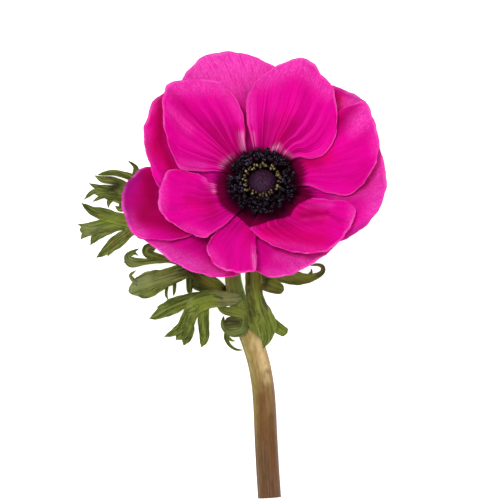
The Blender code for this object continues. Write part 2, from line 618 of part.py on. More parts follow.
def outer_stamens():
    rng = random.Random(7)
    solids = [collar(6.2, 7.3, 0.0, 0.9, 24)]
    for k in range(OUTER_STAMENS):
        azimuth = 2 * math.pi * (k + rng.uniform(-0.15, 0.15)) / OUTER_STAMENS
        row = k % 3
        end = (8.6, 9.7, 10.9)[row] + rng.uniform(-0.3, 0.3)
        top = (5.3, 4.8, 4.1)[row] + rng.uniform(-0.3, 0.3)
        solids.append(stamen(azimuth, 6.8, 0.4, end, top, rng.uniform(1.5, 1.7), rng))
    return fused("stamens_outer", solids, (0.008, 0.004, 0.01), 0.45)


def inner_stamens():
    rng = random.Random(11)
    solids = [collar(COLUMN_RADIUS + FIT_GAP, 5.65, -0.5, 0.5, 24)]
    for k in range(INNER_STAMENS):
        azimuth = 2 * math.pi * (k + rng.uniform(-0.15, 0.15)) / INNER_STAMENS
        end = 6.25 + rng.uniform(-0.12, 0.12)
        top = (3.9, 3.1)[k % 2] + rng.uniform(-0.15, 0.15)
        solids.append(stamen(azimuth, 5.28, 0.0, end, top, rng.uniform(0.85, 0.95), rng))
    return fused("stamens_inner", solids, (0.25, 0.19, 0.05), 0.6)


def pistil():
    """The dome of carpels, with the styles as a low relief."""
    rings, sides = 9, 36
    points = [head_point(0, 0, DOME_BASE)]
    faces = []
    for i in range(rings):
        polar = math.pi / 2 * (1 - i / rings)
        for k in range(sides):
            turn = 2 * math.pi * (k + 0.5 * (i % 2)) / sides
            bump = 0.0 if i == 0 else 0.16 * (1 if (k + i) % 2 else -1) * math.sin(polar)
            radius = (DOME_RADIUS + bump) * math.sin(polar) ** 0.85
            height = DOME_BASE + (DOME_HEIGHT + bump) * math.cos(polar)
            points.append(head_point(radius * math.cos(turn), radius * math.sin(turn), height))
    points.append(head_point(0, 0, DOME_BASE + DOME_HEIGHT))
    for i in range(rings - 1):
        for k in range(sides):
            a = 1 + i * sides + k
            b = 1 + i * sides + (k + 1) % sides
            if i % 2:
                faces += [(a, b, b + sides), (a, b + sides, a + sides)]
            else:
                faces += [(a, b, a + sides), (b, b + sides, a + sides)]
    last = 1 + (rings - 1) * sides
    for k in range(sides):
        faces.append((0, 1 + (k + 1) % sides, 1 + k))
        faces.append((last + k, last + (k + 1) % sides, len(points) - 1))
    return node("pistil", np.array(points), faces, (0.05, 0.012, 0.035), 0.7)


# Leaves


def lobe_solid(lobe):
    """A thin strip with a crease along its middle, closed, resting on the table where it dips."""
    count = len(lobe.stations)
    route = np.array(lobe.stations, float)
    centres = route[:, :3]
    widths = route[:, 3]
    directions = np.gradient(centres, axis=0)
    directions /= np.linalg.norm(directions, axis=1)[:, None]
    creased = widths.max() > 3.3
    sheet = np.zeros((count, 3 if creased else 2, 3))
    for i in range(count):
        bank = math.radians(lobe.bank[0] + (lobe.bank[1] - lobe.bank[0]) * i / (count - 1))
        level = np.cross((0, 0, 1.0), directions[i])
        level /= np.linalg.norm(level)
        up = np.cross(directions[i], level)
        side = level * math.cos(bank) + up * math.sin(bank)
        normal = np.cross(directions[i], side)
        half = max(widths[i], 0.5) / 2
        sheet[i, 0] = centres[i] - side * half
        sheet[i, -1] = centres[i] + side * half
        if creased:
            sheet[i, 1] = centres[i] - normal * 2 * half * lobe.fold
    points, faces = thickened(sheet, LEAF_THICKNESS)
    points[:, 2] = np.maximum(points[:, 2], 0.0)
    return points, faces


def leaf(name, lobes):
    return fused(name, [lobe_solid(lobe) for lobe in lobes], LEAF_GREEN, 0.6)


def stand_on_origin(nodes):
    corners = np.array([v.co[:] for obj in nodes for v in obj.data.vertices])
    middle = (corners.min(axis=0) + corners.max(axis=0)) / 2
    for obj in nodes:
        obj.data.transform(Matrix.Translation((-middle[0], -middle[1], -corners[:, 2].min())))


if __name__ == "__main__":
    main()
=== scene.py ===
# %% [markdown]
# # A cut poppy anemone, laid on a white table
#
# A florist's anemone is a bowl of soft, almost fluorescent petals round a black eye. Under the
# bowl sits a ruff of finely cut leaves, and a fleshy, slightly bent stem carries both. The
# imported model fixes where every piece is. This notebook dresses it: each petal, leaf and stamen
# is modelled again with a fine mesh at the place of its solid, and given a finish made of nodes.

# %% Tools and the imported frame
import math
import random

import bpy
import numpy as np
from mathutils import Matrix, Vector
from mathutils.bvhtree import BVHTree


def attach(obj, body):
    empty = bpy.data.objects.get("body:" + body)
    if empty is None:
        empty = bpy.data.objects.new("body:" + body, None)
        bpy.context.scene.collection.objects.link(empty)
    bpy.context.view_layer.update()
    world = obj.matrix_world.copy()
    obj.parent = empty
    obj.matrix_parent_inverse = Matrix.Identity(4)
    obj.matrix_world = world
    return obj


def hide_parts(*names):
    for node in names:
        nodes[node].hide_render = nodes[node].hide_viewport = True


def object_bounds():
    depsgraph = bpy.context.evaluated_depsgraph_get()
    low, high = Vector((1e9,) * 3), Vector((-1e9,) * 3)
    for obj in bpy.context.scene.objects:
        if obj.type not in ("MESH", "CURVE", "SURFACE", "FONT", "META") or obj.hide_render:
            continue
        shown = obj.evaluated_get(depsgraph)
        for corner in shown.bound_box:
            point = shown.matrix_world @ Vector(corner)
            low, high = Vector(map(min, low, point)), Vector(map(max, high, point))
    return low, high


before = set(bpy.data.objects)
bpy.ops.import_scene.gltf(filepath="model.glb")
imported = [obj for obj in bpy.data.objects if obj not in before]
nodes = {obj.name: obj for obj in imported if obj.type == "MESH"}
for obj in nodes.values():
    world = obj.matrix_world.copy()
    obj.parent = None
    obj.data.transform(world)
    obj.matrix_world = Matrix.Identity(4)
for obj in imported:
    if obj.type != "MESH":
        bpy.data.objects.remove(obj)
cad_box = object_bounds()
print("packed nodes:", len(nodes))

# %% [markdown]
# ## One ruler for everything
#
# Every length below is in millimetres and is measured in plan from the middle of the ring of
# stamens: x to the right, y towards the top of the bloom, z up from the table. One function
# turns the bloom's own directions into that plan, and one shift moves the plan to the frame.

# %% From the flower's own plan to the frame
MM = 0.001
PLAN_MIDDLE = (-10.26, -31.19)  # the middle of the flower's box, measured from the stamens
MIDDLE = (cad_box[0] + cad_box[1]) / 2 / MM
SHIFT = np.array((MIDDLE.x - PLAN_MIDDLE[0], MIDDLE.y - PLAN_MIDDLE[1], cad_box[0].z / MM))

FACE_TILT = math.radians(21.0)  # how far the face of the bloom leans
HEAD = np.array((0.0, -1.3, 26.0))  # the middle of the ring of stamens
HEAD_AXIS = np.array((0.0, math.sin(FACE_TILT), math.cos(FACE_TILT)))


def head_point(across, along, height):
    """A point of the bloom's own frame, in plan millimetres."""
    return HEAD + np.array((
        across,
        along * math.cos(FACE_TILT) + height * math.sin(FACE_TILT),
        -along * math.sin(FACE_TILT) + height * math.cos(FACE_TILT),
    ))


print("plan to frame shift, mm:", np.round(SHIFT, 2))
print("size of the packed flower, mm:", np.round((cad_box[1] - cad_box[0]) / MM, 1))

# %% [markdown]
# ## From points to a piece
#
# Blender's modifiers can grow many shapes, but a petal has to know some things at each of its
# points: how near the rim it is, and how deep in the shade. So every piece is made from arrays,
# with its points, its faces, a UV map, and layers of one number per point for its finish.

# %% A mesh piece from arrays
def piece(name, points, faces, material, replaced, uv=None, layers=None):
    """A smooth mesh object that rides on the flower, with its UV map and point layers."""
    mesh = bpy.data.meshes.new(name)
    mesh.from_pydata(((np.asarray(points) + SHIFT) * MM).tolist(), [], [tuple(f) for f in faces])
    mesh.polygons.foreach_set("use_smooth", [True] * len(mesh.polygons))
    if uv is not None:
        loops = np.zeros(len(mesh.loops), np.int32)
        mesh.loops.foreach_get("vertex_index", loops)
        growth = mesh.uv_layers.new(name="Growth")
        growth.data.foreach_set("uv", np.asarray(uv, np.float32)[loops].ravel())
    for key, values in (layers or {}).items():
        attribute = mesh.attributes.new(key, "FLOAT", "POINT")
        attribute.data.foreach_set("value", np.asarray(values, np.float32))
    mesh.materials.append(material)
    obj = bpy.data.objects.new(name, mesh)
    bpy.context.scene.collection.objects.link(obj)
    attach(obj, "root")
    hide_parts(*replaced)
    print(f"{name}: {len(mesh.polygons)} faces")


# %% [markdown]
# A few measured points are enough for a line when a smooth curve runs through them. A
# Catmull-Rom curve does that, and needs no handles. The small unevenness of growth is a sum of
# sine waves, each with its own random start.

# %% A smooth curve through a few measured points
CURVE_STEPS = 24  # between two of the points


def smooth_curve(points, count):
    """Points at even steps along a Catmull-Rom curve through the given ones."""
    points = np.asarray(points, float)
    ends = np.vstack([2 * points[0] - points[1], points, 2 * points[-1] - points[-2]])
    fine = []
    for p0, p1, p2, p3 in zip(ends, ends[1:], ends[2:], ends[3:]):
        for t in np.linspace(0, 1, CURVE_STEPS, endpoint=False):
            fine.append(0.5 * (
                2 * p1 + (p2 - p0) * t + (2 * p0 - 5 * p1 + 4 * p2 - p3) * t * t
                + (3 * p1 - p0 - 3 * p2 + p3) * t ** 3
            ))
    fine = np.array(fine + [points[-1]])
    steps = np.linalg.norm(np.diff(fine[:, :3], axis=0), axis=1)
    travel = np.concatenate([[0], np.cumsum(steps)])
    wanted = np.linspace(0, travel[-1], count)
    return np.stack([np.interp(wanted, travel, column) for column in fine.T], axis=1)


def ripple(values, rng, waves):
    """A smooth random wave over the values: each wave is (cycles over 0..1, height)."""
    total = np.zeros(np.shape(values))
    for cycles, height in waves:
        total += height * np.sin(2 * math.pi * (cycles * np.asarray(values) + rng.random()))
    return total


arch = smooth_curve(((0, 0, 0), (10, 5, 0), (20, 0, 0)), 7)
print("heights along an arch through three points:", np.round(arch[:, 1], 1))

# %% [markdown]
# Petals and leaf lobes are blades: two skins with a thin rim between them. A Solidify modifier
# would give one thickness. Real blades are thinner at the rim, so the two skins are placed here,
# each half the local thickness from the sheet that runs through the middle.

# %% A thin blade from a sheet of points
def grid_faces(rows, columns):
    """The four-sided faces of a grid of points."""
    faces = []
    for i in range(rows):
        for j in range(columns):
            a = i * (columns + 1) + j
            b = a + columns + 1
            faces.append((a, a + 1, b + 1, b))
    return faces


def upward_normals(sheet):
    """The direction that each point of a sheet faces, on its upper side."""
    normals = np.cross(np.gradient(sheet, axis=0), np.gradient(sheet, axis=1))
    normals /= np.maximum(np.linalg.norm(normals, axis=2), 1e-9)[:, :, None]
    return normals if normals[:, :, 2].sum() > 0 else -normals


def blade(sheet, thickness):
    """Upper and lower skins and the rim between them, closed, with faces turned outwards."""
    rows, columns = sheet.shape[0] - 1, sheet.shape[1] - 1
    lift = upward_normals(sheet) * np.asarray(thickness)[..., None] / 2
    upper, lower = (sheet + lift).reshape(-1, 3), (sheet - lift).reshape(-1, 3)
    count = len(upper)
    faces = grid_faces(rows, columns)
    a, b, c = upper[list(faces[0][:3])]
    if np.dot(np.cross(b - a, c - a), lift[0, 0]) < 0:
        faces = [face[::-1] for face in faces]
    edges = {(f[k], f[(k + 1) % 4]) for f in faces for k in range(4)}
    rim = [(b, a, a + count, b + count) for a, b in sorted(edges) if (b, a) not in edges]
    return np.vstack([upper, lower]), faces + [
        tuple(v + count for v in face[::-1]) for face in faces
    ] + rim


def turned_outwards(points, faces):
    """The faces of a closed body, all turned round if they face its inside."""
    fans = [(f[0], f[k], f[k + 1]) for f in faces for k in range(1, len(f) - 1)]
    volume = sum(np.dot(points[a], np.cross(points[b], points[c])) for a, b, c in fans)
    return [face[::-1] for face in faces] if volume < 0 else faces


print("a grid of 2 by 3 cells has", len(grid_faces(2, 3)), "faces on each side of a blade")

# %% [markdown]
# ## Finishes
#
# Living tissue is layered: a thin, waxy or velvety skin over watery, coloured cells. Each
# finish here is one Principled shader. Patterns follow growth, so they are drawn on a UV map
# whose second axis runs from the root to the tip of each petal and leaf.
#
# A finish is built like a painting, from the body colour up. Each coat has a colour and some
# shares that say where it lies: a number, the name of a point layer, a pattern, or a soft step.

# %% Nodes
def linear(hex_colour):
    """An sRGB hex value as the linear colour that a shader takes."""
    channels = [int(hex_colour[k:k + 2], 16) / 255 for k in (1, 3, 5)]
    return tuple(
        c / 12.92 if c <= 0.04045 else ((c + 0.055) / 1.055) ** 2.4 for c in channels) + (1.0,)


def add_node(material, kind, settings=None, **links):
    """A node with its settings; links name an input and give a value or another node's output."""
    node = material.node_tree.nodes.new(kind)
    for key, value in (settings or {}).items():
        setattr(node, key, value)
    for key, value in links.items():
        socket = node.inputs[int(key[1:]) if key[1:].isdigit() else key.replace("_", " ")]
        if isinstance(value, bpy.types.NodeSocket):
            material.node_tree.links.new(value, socket)
        else:
            socket.default_value = value
    return node


print("magenta as a shader takes it:", np.round(linear("#dc0090"), 3))

# %% Coats of colour
def new_finish(name, **settings):
    """A material with one Principled shader; settings name the shader's inputs."""
    material = bpy.data.materials.new(name)
    material.use_nodes = True
    shader = material.node_tree.nodes["Principled BSDF"]
    for key, value in settings.items():
        shader.inputs[key.replace("_", " ")].default_value = value
    return material, shader


def share_of(material, share):
    """How much of a coat shows: a number or a pattern, as it is, or the name of a point layer.

    (share, more) adds to it. (share, low, high) is a soft step from 0 at low to 1 at high, and
    (share, low, high, bottom, top) is one from bottom to top.
    """
    if isinstance(share, str):
        return add_node(
            material, "ShaderNodeAttribute", {"attribute_name": share}).outputs["Fac"]
    if not isinstance(share, tuple):
        return share
    value = share_of(material, share[0])
    if len(share) == 2:
        return add_node(
            material, "ShaderNodeMath", {"operation": "ADD"}, _0=value, _1=share[1]).outputs[0]
    low, high, bottom, top = (*share[1:], 0.0, 1.0)[:4]
    return add_node(
        material, "ShaderNodeMapRange", {"interpolation_type": "SMOOTHSTEP"},
        _0=value, _1=low, _2=high, _3=bottom, _4=top,
    ).outputs[0]


def coat(material, under, over, *shares):
    """One colour over another, as strong as the product of its shares."""
    strength = share_of(material, shares[0])
    for share in shares[1:]:
        strength = add_node(
            material, "ShaderNodeMath", {"operation": "MULTIPLY"},
            _0=strength, _1=share_of(material, share),
        ).outputs[0]
    under, over = (linear(c) if isinstance(c, str) else c for c in (under, over))
    return add_node(
        material, "ShaderNodeMix", {"data_type": "RGBA"}, _0=strength, _6=under, _7=over
    ).outputs[2]


print("materials so far:", len(bpy.data.materials))

# %% Streaks and bumps
def streaks(material, across, along, detail=3.0, distortion=0.0, offset=0.0):
    """Noise stretched along the growth of a piece, with so many cells per unit of its UV map."""
    uv = add_node(material, "ShaderNodeUVMap", {"uv_map": "Growth"}).outputs[0]
    placed = add_node(
        material, "ShaderNodeMapping", _0=uv, _1=(offset, offset, 0), _3=(across, along, 1)
    ).outputs[0]
    return add_node(
        material, "ShaderNodeTexNoise", {"noise_dimensions": "2D"},
        Vector=placed, Scale=1.0, Detail=detail, Roughness=0.55, Distortion=distortion,
    ).outputs["Fac"]


def complete(material, shader, colour, coarse, fine, fine_share, strength, depth_mm):
    """Gives the shader its colour and its bumps: coarse ones, with a share of fine ones."""
    height = add_node(
        material, "ShaderNodeMath", {"operation": "MULTIPLY_ADD"},
        _0=fine, _1=fine_share, _2=coarse,
    ).outputs[0]
    bump = add_node(
        material, "ShaderNodeBump", Strength=strength, Distance=depth_mm * MM, Height=height)
    material.node_tree.links.new(colour, shader.inputs["Base Color"])
    material.node_tree.links.new(bump.outputs[0], shader.inputs["Normal"])
    return material


print("0.15 mm of bumps in metres:", round(0.15 * MM, 6))

# %% [markdown]
# ## Petal skin
#
# A fresh petal is coloured by magenta sap in cells shaped like tiny cones. The cones trap light,
# which makes the colour deep, and gives a velvet sheen at a slant. Fine veins run from the claw
# to the rim; shade is painted darker along them in the creases, and highlight paler on the ridges
# between them. Where the petal arches back a chalky sheen is painted into the colour, with dashes
# of painted shade where it is a little crumpled. The rim is thinner and paler, with some painted
# sheen, and the foot is a maroon stain, painted almost black towards the eye as the shade deep in
# the cup.
#
# The patterns count cells over a petal that is about 40 mm wide and long: 80 across is a vein
# every 0.5 mm. Real cones are 0.03 mm wide, too fine to show, so the grain is drawn at 0.3 mm.

# %% Petal finishes
MAGENTA, OUTER_MAGENTA = "#dc0090", "#d80392"
# painted sheen: the pink painted where light grazes the cones of a petal that arches back
PAINTED_SHEEN_PINK, OUTER_PAINTED_SHEEN_PINK = "#ef40ba", "#ee49be"
# light flecks of the grain, mostly where sheen is painted, and darker dashes of painted shade in
# the crumples
STRIPE, SHEEN_FLECK, CRUMPLE_SHADE = "#c80080", "#f590dc", "#c4108c"
# vein lines darkened as painted shade in the creases, paler lines as painted highlight on the
# ridges
VEIN_SHADE, RIDGE_HIGHLIGHT, RIM_PALE_AND_SHEEN = "#980054", "#f22cae", "#f56cc8"
# painted shades; the crimson is partly the petal's own redder tone
CRIMSON_TONE_AND_SHADE, PURPLE_SHADE, RED_SHADE = "#cc0056", "#7c0f68", "#90003f"
# the foot: a maroon stain, painted black towards the eye as the shade deep in the cup
PALE_STREAK, FOOT_MAROON, FOOT_SHADE = "#eba6d4", "#62002a", "#20000a"
SHEEN_PINK = "#ff5cc8"


def petal_finish(name, body, sheen_colour):
    """Velvet with painted sheen and shade: body colour, veins and ridges, pale streaks, rim, dark
    foot.
    """
    material, shader = new_finish(
        name, Roughness=0.7, IOR=1.4, Specular_IOR_Level=0.03,
        Sheen_Weight=0.04, Sheen_Roughness=0.45, Sheen_Tint=linear(SHEEN_PINK),
    )
    fine = streaks(material, 80, 1.6, 4.0)  # veins, 0.5 mm apart
    lines = streaks(material, 30, 0.7, 2.0, 0.2, offset=3.0)  # ridges, 1.3 mm apart
    grain = streaks(material, 120, 36.0, 3.0, offset=11.0)  # cones, 0.3 by 1.1 mm
    broad = streaks(material, 11, 1.3, 2.0, offset=7.0)  # bands, 3.6 mm wide
    crumple = streaks(material, 85, 7.0, 3.0, offset=17.0)  # crumples, 0.5 by 5.7 mm

    colour = coat(material, body, STRIPE, (broad, 0.44, 0.64), 0.65)
    # painted sheen where the petal arches back, with light flecks and dashes of painted shade
    colour = coat(material, colour, sheen_colour, "painted_sheen", (grain, 0.7, 0.3, 0.42, 0.76))
    colour = coat(material, colour, SHEEN_FLECK, (grain, 0.5, 0.66), ("painted_sheen", 0.05), 0.3)
    colour = coat(material, colour, CRUMPLE_SHADE, ("painted_sheen", 0.15), (crumple, 0.5, 0.66, 0.0, 0.62))
    # veins, painted darker as shade in the creases, and paler as highlight on the ridges between
    # them
    colour = coat(material, colour, VEIN_SHADE, "vein_shade", (lines, 0.51, 0.6))
    colour = coat(material, colour, RIDGE_HIGHLIGHT, "vein_shade", (lines, 0.47, 0.38, 0.0, 0.42))
    colour = coat(material, colour, VEIN_SHADE, ("vein_shade", 0.32), (fine, 0.5, 0.7, 0.0, 0.45))
    # painted shade in purple, red and crimson; some crimson is the petal's own redder tone
    colour = coat(material, colour, CRIMSON_TONE_AND_SHADE, "crimson")
    colour = coat(material, colour, PURPLE_SHADE, "purple")
    colour = coat(material, colour, RED_SHADE, "red")
    colour = coat(material, colour, PALE_STREAK, "pale", (fine, 0.60, 0.40))
    # a paler rim: thinner tissue, with some painted sheen
    colour = coat(
        material, colour, RIM_PALE_AND_SHEEN, ("rim_mm", 1.5, 0.0), (broad, 0.3, 0.65, 0.08, 0.55))

    # the dark foot is a maroon stain, painted black towards the eye as the shade deep in the cup;
    # it ends in streaks, because the fine veins carry the stain outwards
    ragged = add_node(
        material, "ShaderNodeMath", {"operation": "MULTIPLY_ADD"},
        _0=fine, _1=-1.6, _2=share_of(material, ("hollow", 0.8)),
    ).outputs[0]
    foot = coat(material, FOOT_MAROON, FOOT_SHADE, ("eye_mm", 14.5, 11.0))
    colour = coat(material, colour, foot, (ragged, 1.0, -0.2, 0.0, 0.97))
    return complete(material, shader, colour, lines, grain, 0.4, strength=0.4, depth_mm=0.15)


INNER_SKIN = petal_finish("inner petal velvet", MAGENTA, PAINTED_SHEEN_PINK)
OUTER_SKIN = petal_finish("outer petal velvet", OUTER_MAGENTA, OUTER_PAINTED_SHEEN_PINK)
print("petal finishes:", INNER_SKIN.name, "and", OUTER_SKIN.name)

# %% [markdown]
# ## Petals
#
# An anemone petal is a thin, nearly round blade on a narrow claw. It could be sculpted, but a
# sheet spun between a few measured rim points keeps the outline exact. The seven outer petals
# come first in the table, then the six inner ones that lie over them.

# %% Where the rim of each petal passes
# name: azimuth of the claw, then rim points anticlockwise from one side of the claw
PETALS = {
    "petal_outer_5": (301.7, (
        (-6.5, -13), (-7.3, -21), (-4.7, -27), (0, -31), (4.7, -32), (10.7, -30.7), (17, -27.3),
        (21.3, -24.3), (27, -19), (30, -15), (28.7, -10.3), (22.7, -7))),
    "petal_outer_6": (353.1, (
        (21, -19.5), (26.7, -19.7), (31, -17.3), (34.3, -15), (38, -10.7), (40.3, -6),
        (41.3, -1.7), (41.3, 1.7), (40.3, 7), (39, 11.3), (35, 16), (28, 16))),
    "petal_outer_7": (44.6, (
        (27, 12), (32, 17), (34.6, 22.5), (35.2, 25), (33.9, 27.1), (29.6, 29.6),
        (24, 31.8), (17, 32), (13.5, 29), (11.5, 23.7))),
    "petal_outer_1": (96.0, (
        (7, 21), (9.3, 29), (7.7, 35.3), (3.7, 38.6), (-0.7, 41), (-5.7, 42.7), (-9.7, 43.4),
        (-13.3, 43.3), (-18.7, 42.3), (-22.5, 39.5), (-26, 35.3), (-28, 28.7), (-24, 20.3))),
    "petal_outer_4": (250.3, (
        (-31, -12), (-38, -15.5), (-41.5, -18.3), (-38, -20.4), (-34.9, -22.6), (-31.2, -25.8),
        (-26.7, -28.4), (-22.3, -30.3), (-14.3, -32), (-8, -31), (-5, -27), (-5, -20))),
    "petal_outer_3": (198.9, (
        (-31, 3.4), (-38.3, 4.6), (-42.3, 2.3), (-46, -3), (-46.4, -8.3), (-44.7, -13.7),
        (-42, -18.3), (-37.3, -19.3), (-30.7, -19.7), (-25.7, -19), (-20, -16))),
    "petal_outer_2": (147.4, (
        (-18, 26), (-26, 32), (-32.3, 29.7), (-36.5, 26.3), (-38.3, 21), (-39.2, 18.3),
        (-39.4, 14.7), (-39, 11.3), (-37.3, 5.3), (-34.3, -2.3), (-29, -7), (-21, -7))),
    "petal_inner_5": (257.5, (
        (-12, -13), (-15.7, -17.5), (-17.9, -21.2), (-17.9, -24), (-15.5, -28), (-12.7, -29.4),
        (-9, -30.3), (-6.7, -30.5), (-4.3, -30.3), (-2, -29.2), (-1.9, -24.7), (-2.2, -19),
        (-0.2, -13.4))),
    "petal_inner_6": (197.5, (
        (-16.4, -0.9), (-18.6, 1.0), (-22, 2.5), (-25.7, 3.4), (-30.7, 3.7), (-33.3, -0.7),
        (-34.4, -6.7), (-33, -11.3), (-27.3, -15.7), (-19.3, -19), (-16.3, -17.2), (-12.7, -15),
        (-10, -12.5))),
    "petal_inner_4": (317.5, (
        (-3.9, -15), (-3, -17), (1.7, -20.5), (9.3, -23.4), (15.7, -24.1), (22, -23),
        (27, -18.5), (30.7, -12), (30.6, -9.4), (28, -6.8), (21.5, -6.2))),
    "petal_inner_3": (17.5, (
        (14, -1.6), (21, -3.8), (28.3, -4.8), (33.3, -1.1), (37, 4.3), (38.6, 9), (38.9, 13),
        (38, 17.8), (36.6, 21.5), (35.8, 24.4), (33.8, 26.3), (30, 25.6), (25.7, 23.2), (20, 18.5),
        (14, 12))),
    "petal_inner_1": (137.5, (
        (-5.3, 11.3), (-5.6, 17.7), (-7.3, 25), (-11.3, 30.3), (-16.3, 33.4), (-24, 33.8),
        (-30.9, 32.4), (-32.8, 28.7), (-33, 23), (-32.4, 17), (-30.3, 10.3), (-27, 4.1),
        (-20.7, 3.2), (-11.8, 2.8))),
    "petal_inner_2": (77.5, (
        (11, 7.5), (16.5, 7.2), (21, 9.2), (24.2, 14), (25, 22), (24, 29.6), (22, 33.4),
        (19.3, 35.9), (16.9, 39.6), (11.7, 40.9), (4.3, 37.9), (-2, 32.9), (-5.1, 27), (-5, 20),
        (-3, 11.5))),
}
print("petals:", len(PETALS))

# %% [markdown]
# An outline starts at one end of the claw, runs up a side, over the top and down to the other
# end. The rim of a real petal is faintly crimped, so the outline wavers by a tenth of a
# millimetre or so, and less towards the claw.

# %% The outline of a petal
CLAW_RADIUS = 4.13  # how far the claws stand from the axis of the bloom
CLAW_WIDTHS = {"inner": 4.4, "outer": 4.0}
CLAW_SEATS = {"inner": -4.7, "outer": -6.4}  # heights in the bloom's own frame
OUTLINE_POINTS = 901
CRIMP_WAVES = ((14, 0.12), (23, 0.07), (41, 0.04), (67, 0.03))


def row_of(name):
    """The row that a petal stands in."""
    return "inner" if "inner" in name else "outer"


def petal_outline(name, rng):
    """The claw's two ends and the rim between them, with a slightly crimped edge."""
    azimuth, margin = PETALS[name]
    row = row_of(name)
    turn = math.radians(azimuth)
    out = np.array((math.cos(turn), math.sin(turn)))
    across = np.array((-out[1], out[0]))
    half = CLAW_WIDTHS[row] / 2
    ends = [head_point(*(CLAW_RADIUS * out + half * u * across), CLAW_SEATS[row]) for u in (-1, 1)]
    stations = [ends[0][:2], *margin, ends[1][:2]]
    curve = smooth_curve([(x, y, 0.0) for x, y in stations], OUTLINE_POINTS)[:, :2]
    along = np.gradient(curve, axis=0)
    outward = np.stack([along[:, 1], -along[:, 0]], axis=1)
    outward /= np.linalg.norm(outward, axis=1)[:, None]
    share = np.linspace(0, 1, len(curve))
    crimp = ripple(share, rng, CRIMP_WAVES)
    crimp *= np.clip(np.minimum(share, 1 - share) * 6 - 0.4, 0, 1)
    return curve + outward * crimp[:, None]


sample_outline = petal_outline("petal_outer_1", random.Random(1))
print("middle of one outline, in plan mm:", np.round(sample_outline.mean(axis=0), 1))

# %% [markdown]
# A grid of points inside the outline is blended from its four edges: the claw, the two sides
# and the top. This is a Coons patch. Its columns fan out from the claw as the veins of a petal
# do, so the UV map and the creases can follow them.

# %% The plan of a petal
SIDE_SHARE = 0.3  # how much of the outline is one side edge
ROWS, COLUMNS = 44, 60


def petal_plan(outline):
    """A grid between the claw, the two sides and the top of an outline."""
    last = len(outline) - 1
    corner = round(last * SIDE_SHARE)
    left = outline[np.linspace(0, corner, ROWS + 1).round().astype(int)]
    top = outline[np.linspace(corner, last - corner, COLUMNS + 1).round().astype(int)]
    right = outline[np.linspace(last, last - corner, ROWS + 1).round().astype(int)]
    v = np.linspace(0, 1, COLUMNS + 1)[None, :, None]
    t = np.linspace(0, 1, ROWS + 1)[:, None, None]
    claw = (1 - v[0]) * outline[0] + v[0] * outline[-1]
    return (
        (1 - t) * claw[None] + t * top[None] + (1 - v) * left[:, None] + v * right[:, None]
        - (1 - t) * ((1 - v) * left[0] + v * right[0])
        - t * ((1 - v) * left[-1] + v * right[-1])
    )


sample_plan = petal_plan(sample_outline)
print("the grid of a petal has", sample_plan.shape[0], "by", sample_plan.shape[1], "points")

# %% [markdown]
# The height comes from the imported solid. A ray from above and one from below find its two skins,
# and the blade runs midway between them. Near the rim a ray can miss, so those heights go on
# along the slope beside them. A few rounds of blur take the facets of the solid away.

# %% Rays into a solid
FAR = 500  # well above and below the flower


def solid_tree(name):
    """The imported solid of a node, for rays, in plan millimetres."""
    mesh = nodes[name].data
    points = np.array([v.co for v in mesh.vertices]) / MM - SHIFT
    return BVHTree.FromPolygons(points.tolist(), [tuple(p.vertices) for p in mesh.polygons])


def middle_height(tree, x, y):
    """The height midway between the two skins of a solid, or nothing beside it."""
    top = tree.ray_cast(Vector((x, y, FAR)), Vector((0, 0, -1)))[0]
    low = tree.ray_cast(Vector((x, y, -FAR)), Vector((0, 0, 1)))[0]
    return math.nan if top is None else (top.z + low.z) / 2


sample_height = middle_height(solid_tree("petal_outer_1"), -10, 35)
print("the top petal lies", round(sample_height, 1), "mm up near its rim")

# %% Heights past the rim, and blur
SLOPE_STEPS = 3


def carry_on(values, end, step):
    """Fills the values past an end, on the slope that leads to it: step is 1 or -1."""
    slope = values[end] - values[end - SLOPE_STEPS * step]
    for k in range(end + step, len(values) if step > 0 else -1, step):
        values[k] = values[end] + abs(k - end) * slope / SLOPE_STEPS


def smoothed(heights, rounds):
    """Rounds of a 1-2-1 blur both ways, with the slope kept at the edges."""
    for _ in range(rounds):
        for axis in (0, 1):
            lines = np.moveaxis(heights, axis, 0)
            first, last = 2 * lines[:1] - lines[1:2], 2 * lines[-1:] - lines[-2:-1]
            lines = np.concatenate([first, lines, last])
            lines = (lines[:-2] + 2 * lines[1:-1] + lines[2:]) / 4
            heights = np.moveaxis(lines, 0, axis)
    return heights


sample_row = np.array((np.nan, 1.0, 2.0, 3.0, 4.0, np.nan))
carry_on(sample_row, 1, -1)
carry_on(sample_row, 4, 1)
print("a slope carried on past both ends:", sample_row)

# %% The height of a petal
INSET_ROWS, INSET_COLUMNS = 2, 3  # the edge of the grid, where no ray is cast
BLUR_ROUNDS = 10


def solid_heights(name, plan):
    """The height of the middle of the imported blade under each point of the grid."""
    tree = solid_tree(name)
    heights = np.full(plan.shape[:2], np.nan)
    for i in range(ROWS + 1 - INSET_ROWS):
        for j in range(INSET_COLUMNS, COLUMNS + 1 - INSET_COLUMNS):
            heights[i, j] = middle_height(tree, *plan[i, j])
    for row in heights:
        known = np.flatnonzero(~np.isnan(row))
        if len(known):
            row[:] = np.interp(np.arange(COLUMNS + 1), known, row[known])
            carry_on(row, known[0], -1)
            carry_on(row, known[-1], 1)
    rows = np.flatnonzero(~np.isnan(heights[:, 0]))
    heights[:rows[0]] = heights[rows[0]]
    carry_on(heights, rows[-1], 1)
    return smoothed(heights, BLUR_ROUNDS)


sample_heights = solid_heights("petal_outer_1", sample_plan)
print("one petal lies", *np.round((sample_heights.min(), sample_heights.max())), "mm up")

# %% [markdown]
# Light and shade are painted onto each petal. Where it arches back a chalky sheen is painted,
# and some places in shade are painted lighter; where it cups or lies under a neighbour it is
# painted in purple, red or crimson shade, and some crimson is its own redder tone. At its foot
# some streaks stay almost white. Each such place is a soft spot: a short line in plan, with a
# radius and a strength. Spots could be painted on a texture, but as numbers they can be moved
# one by one.

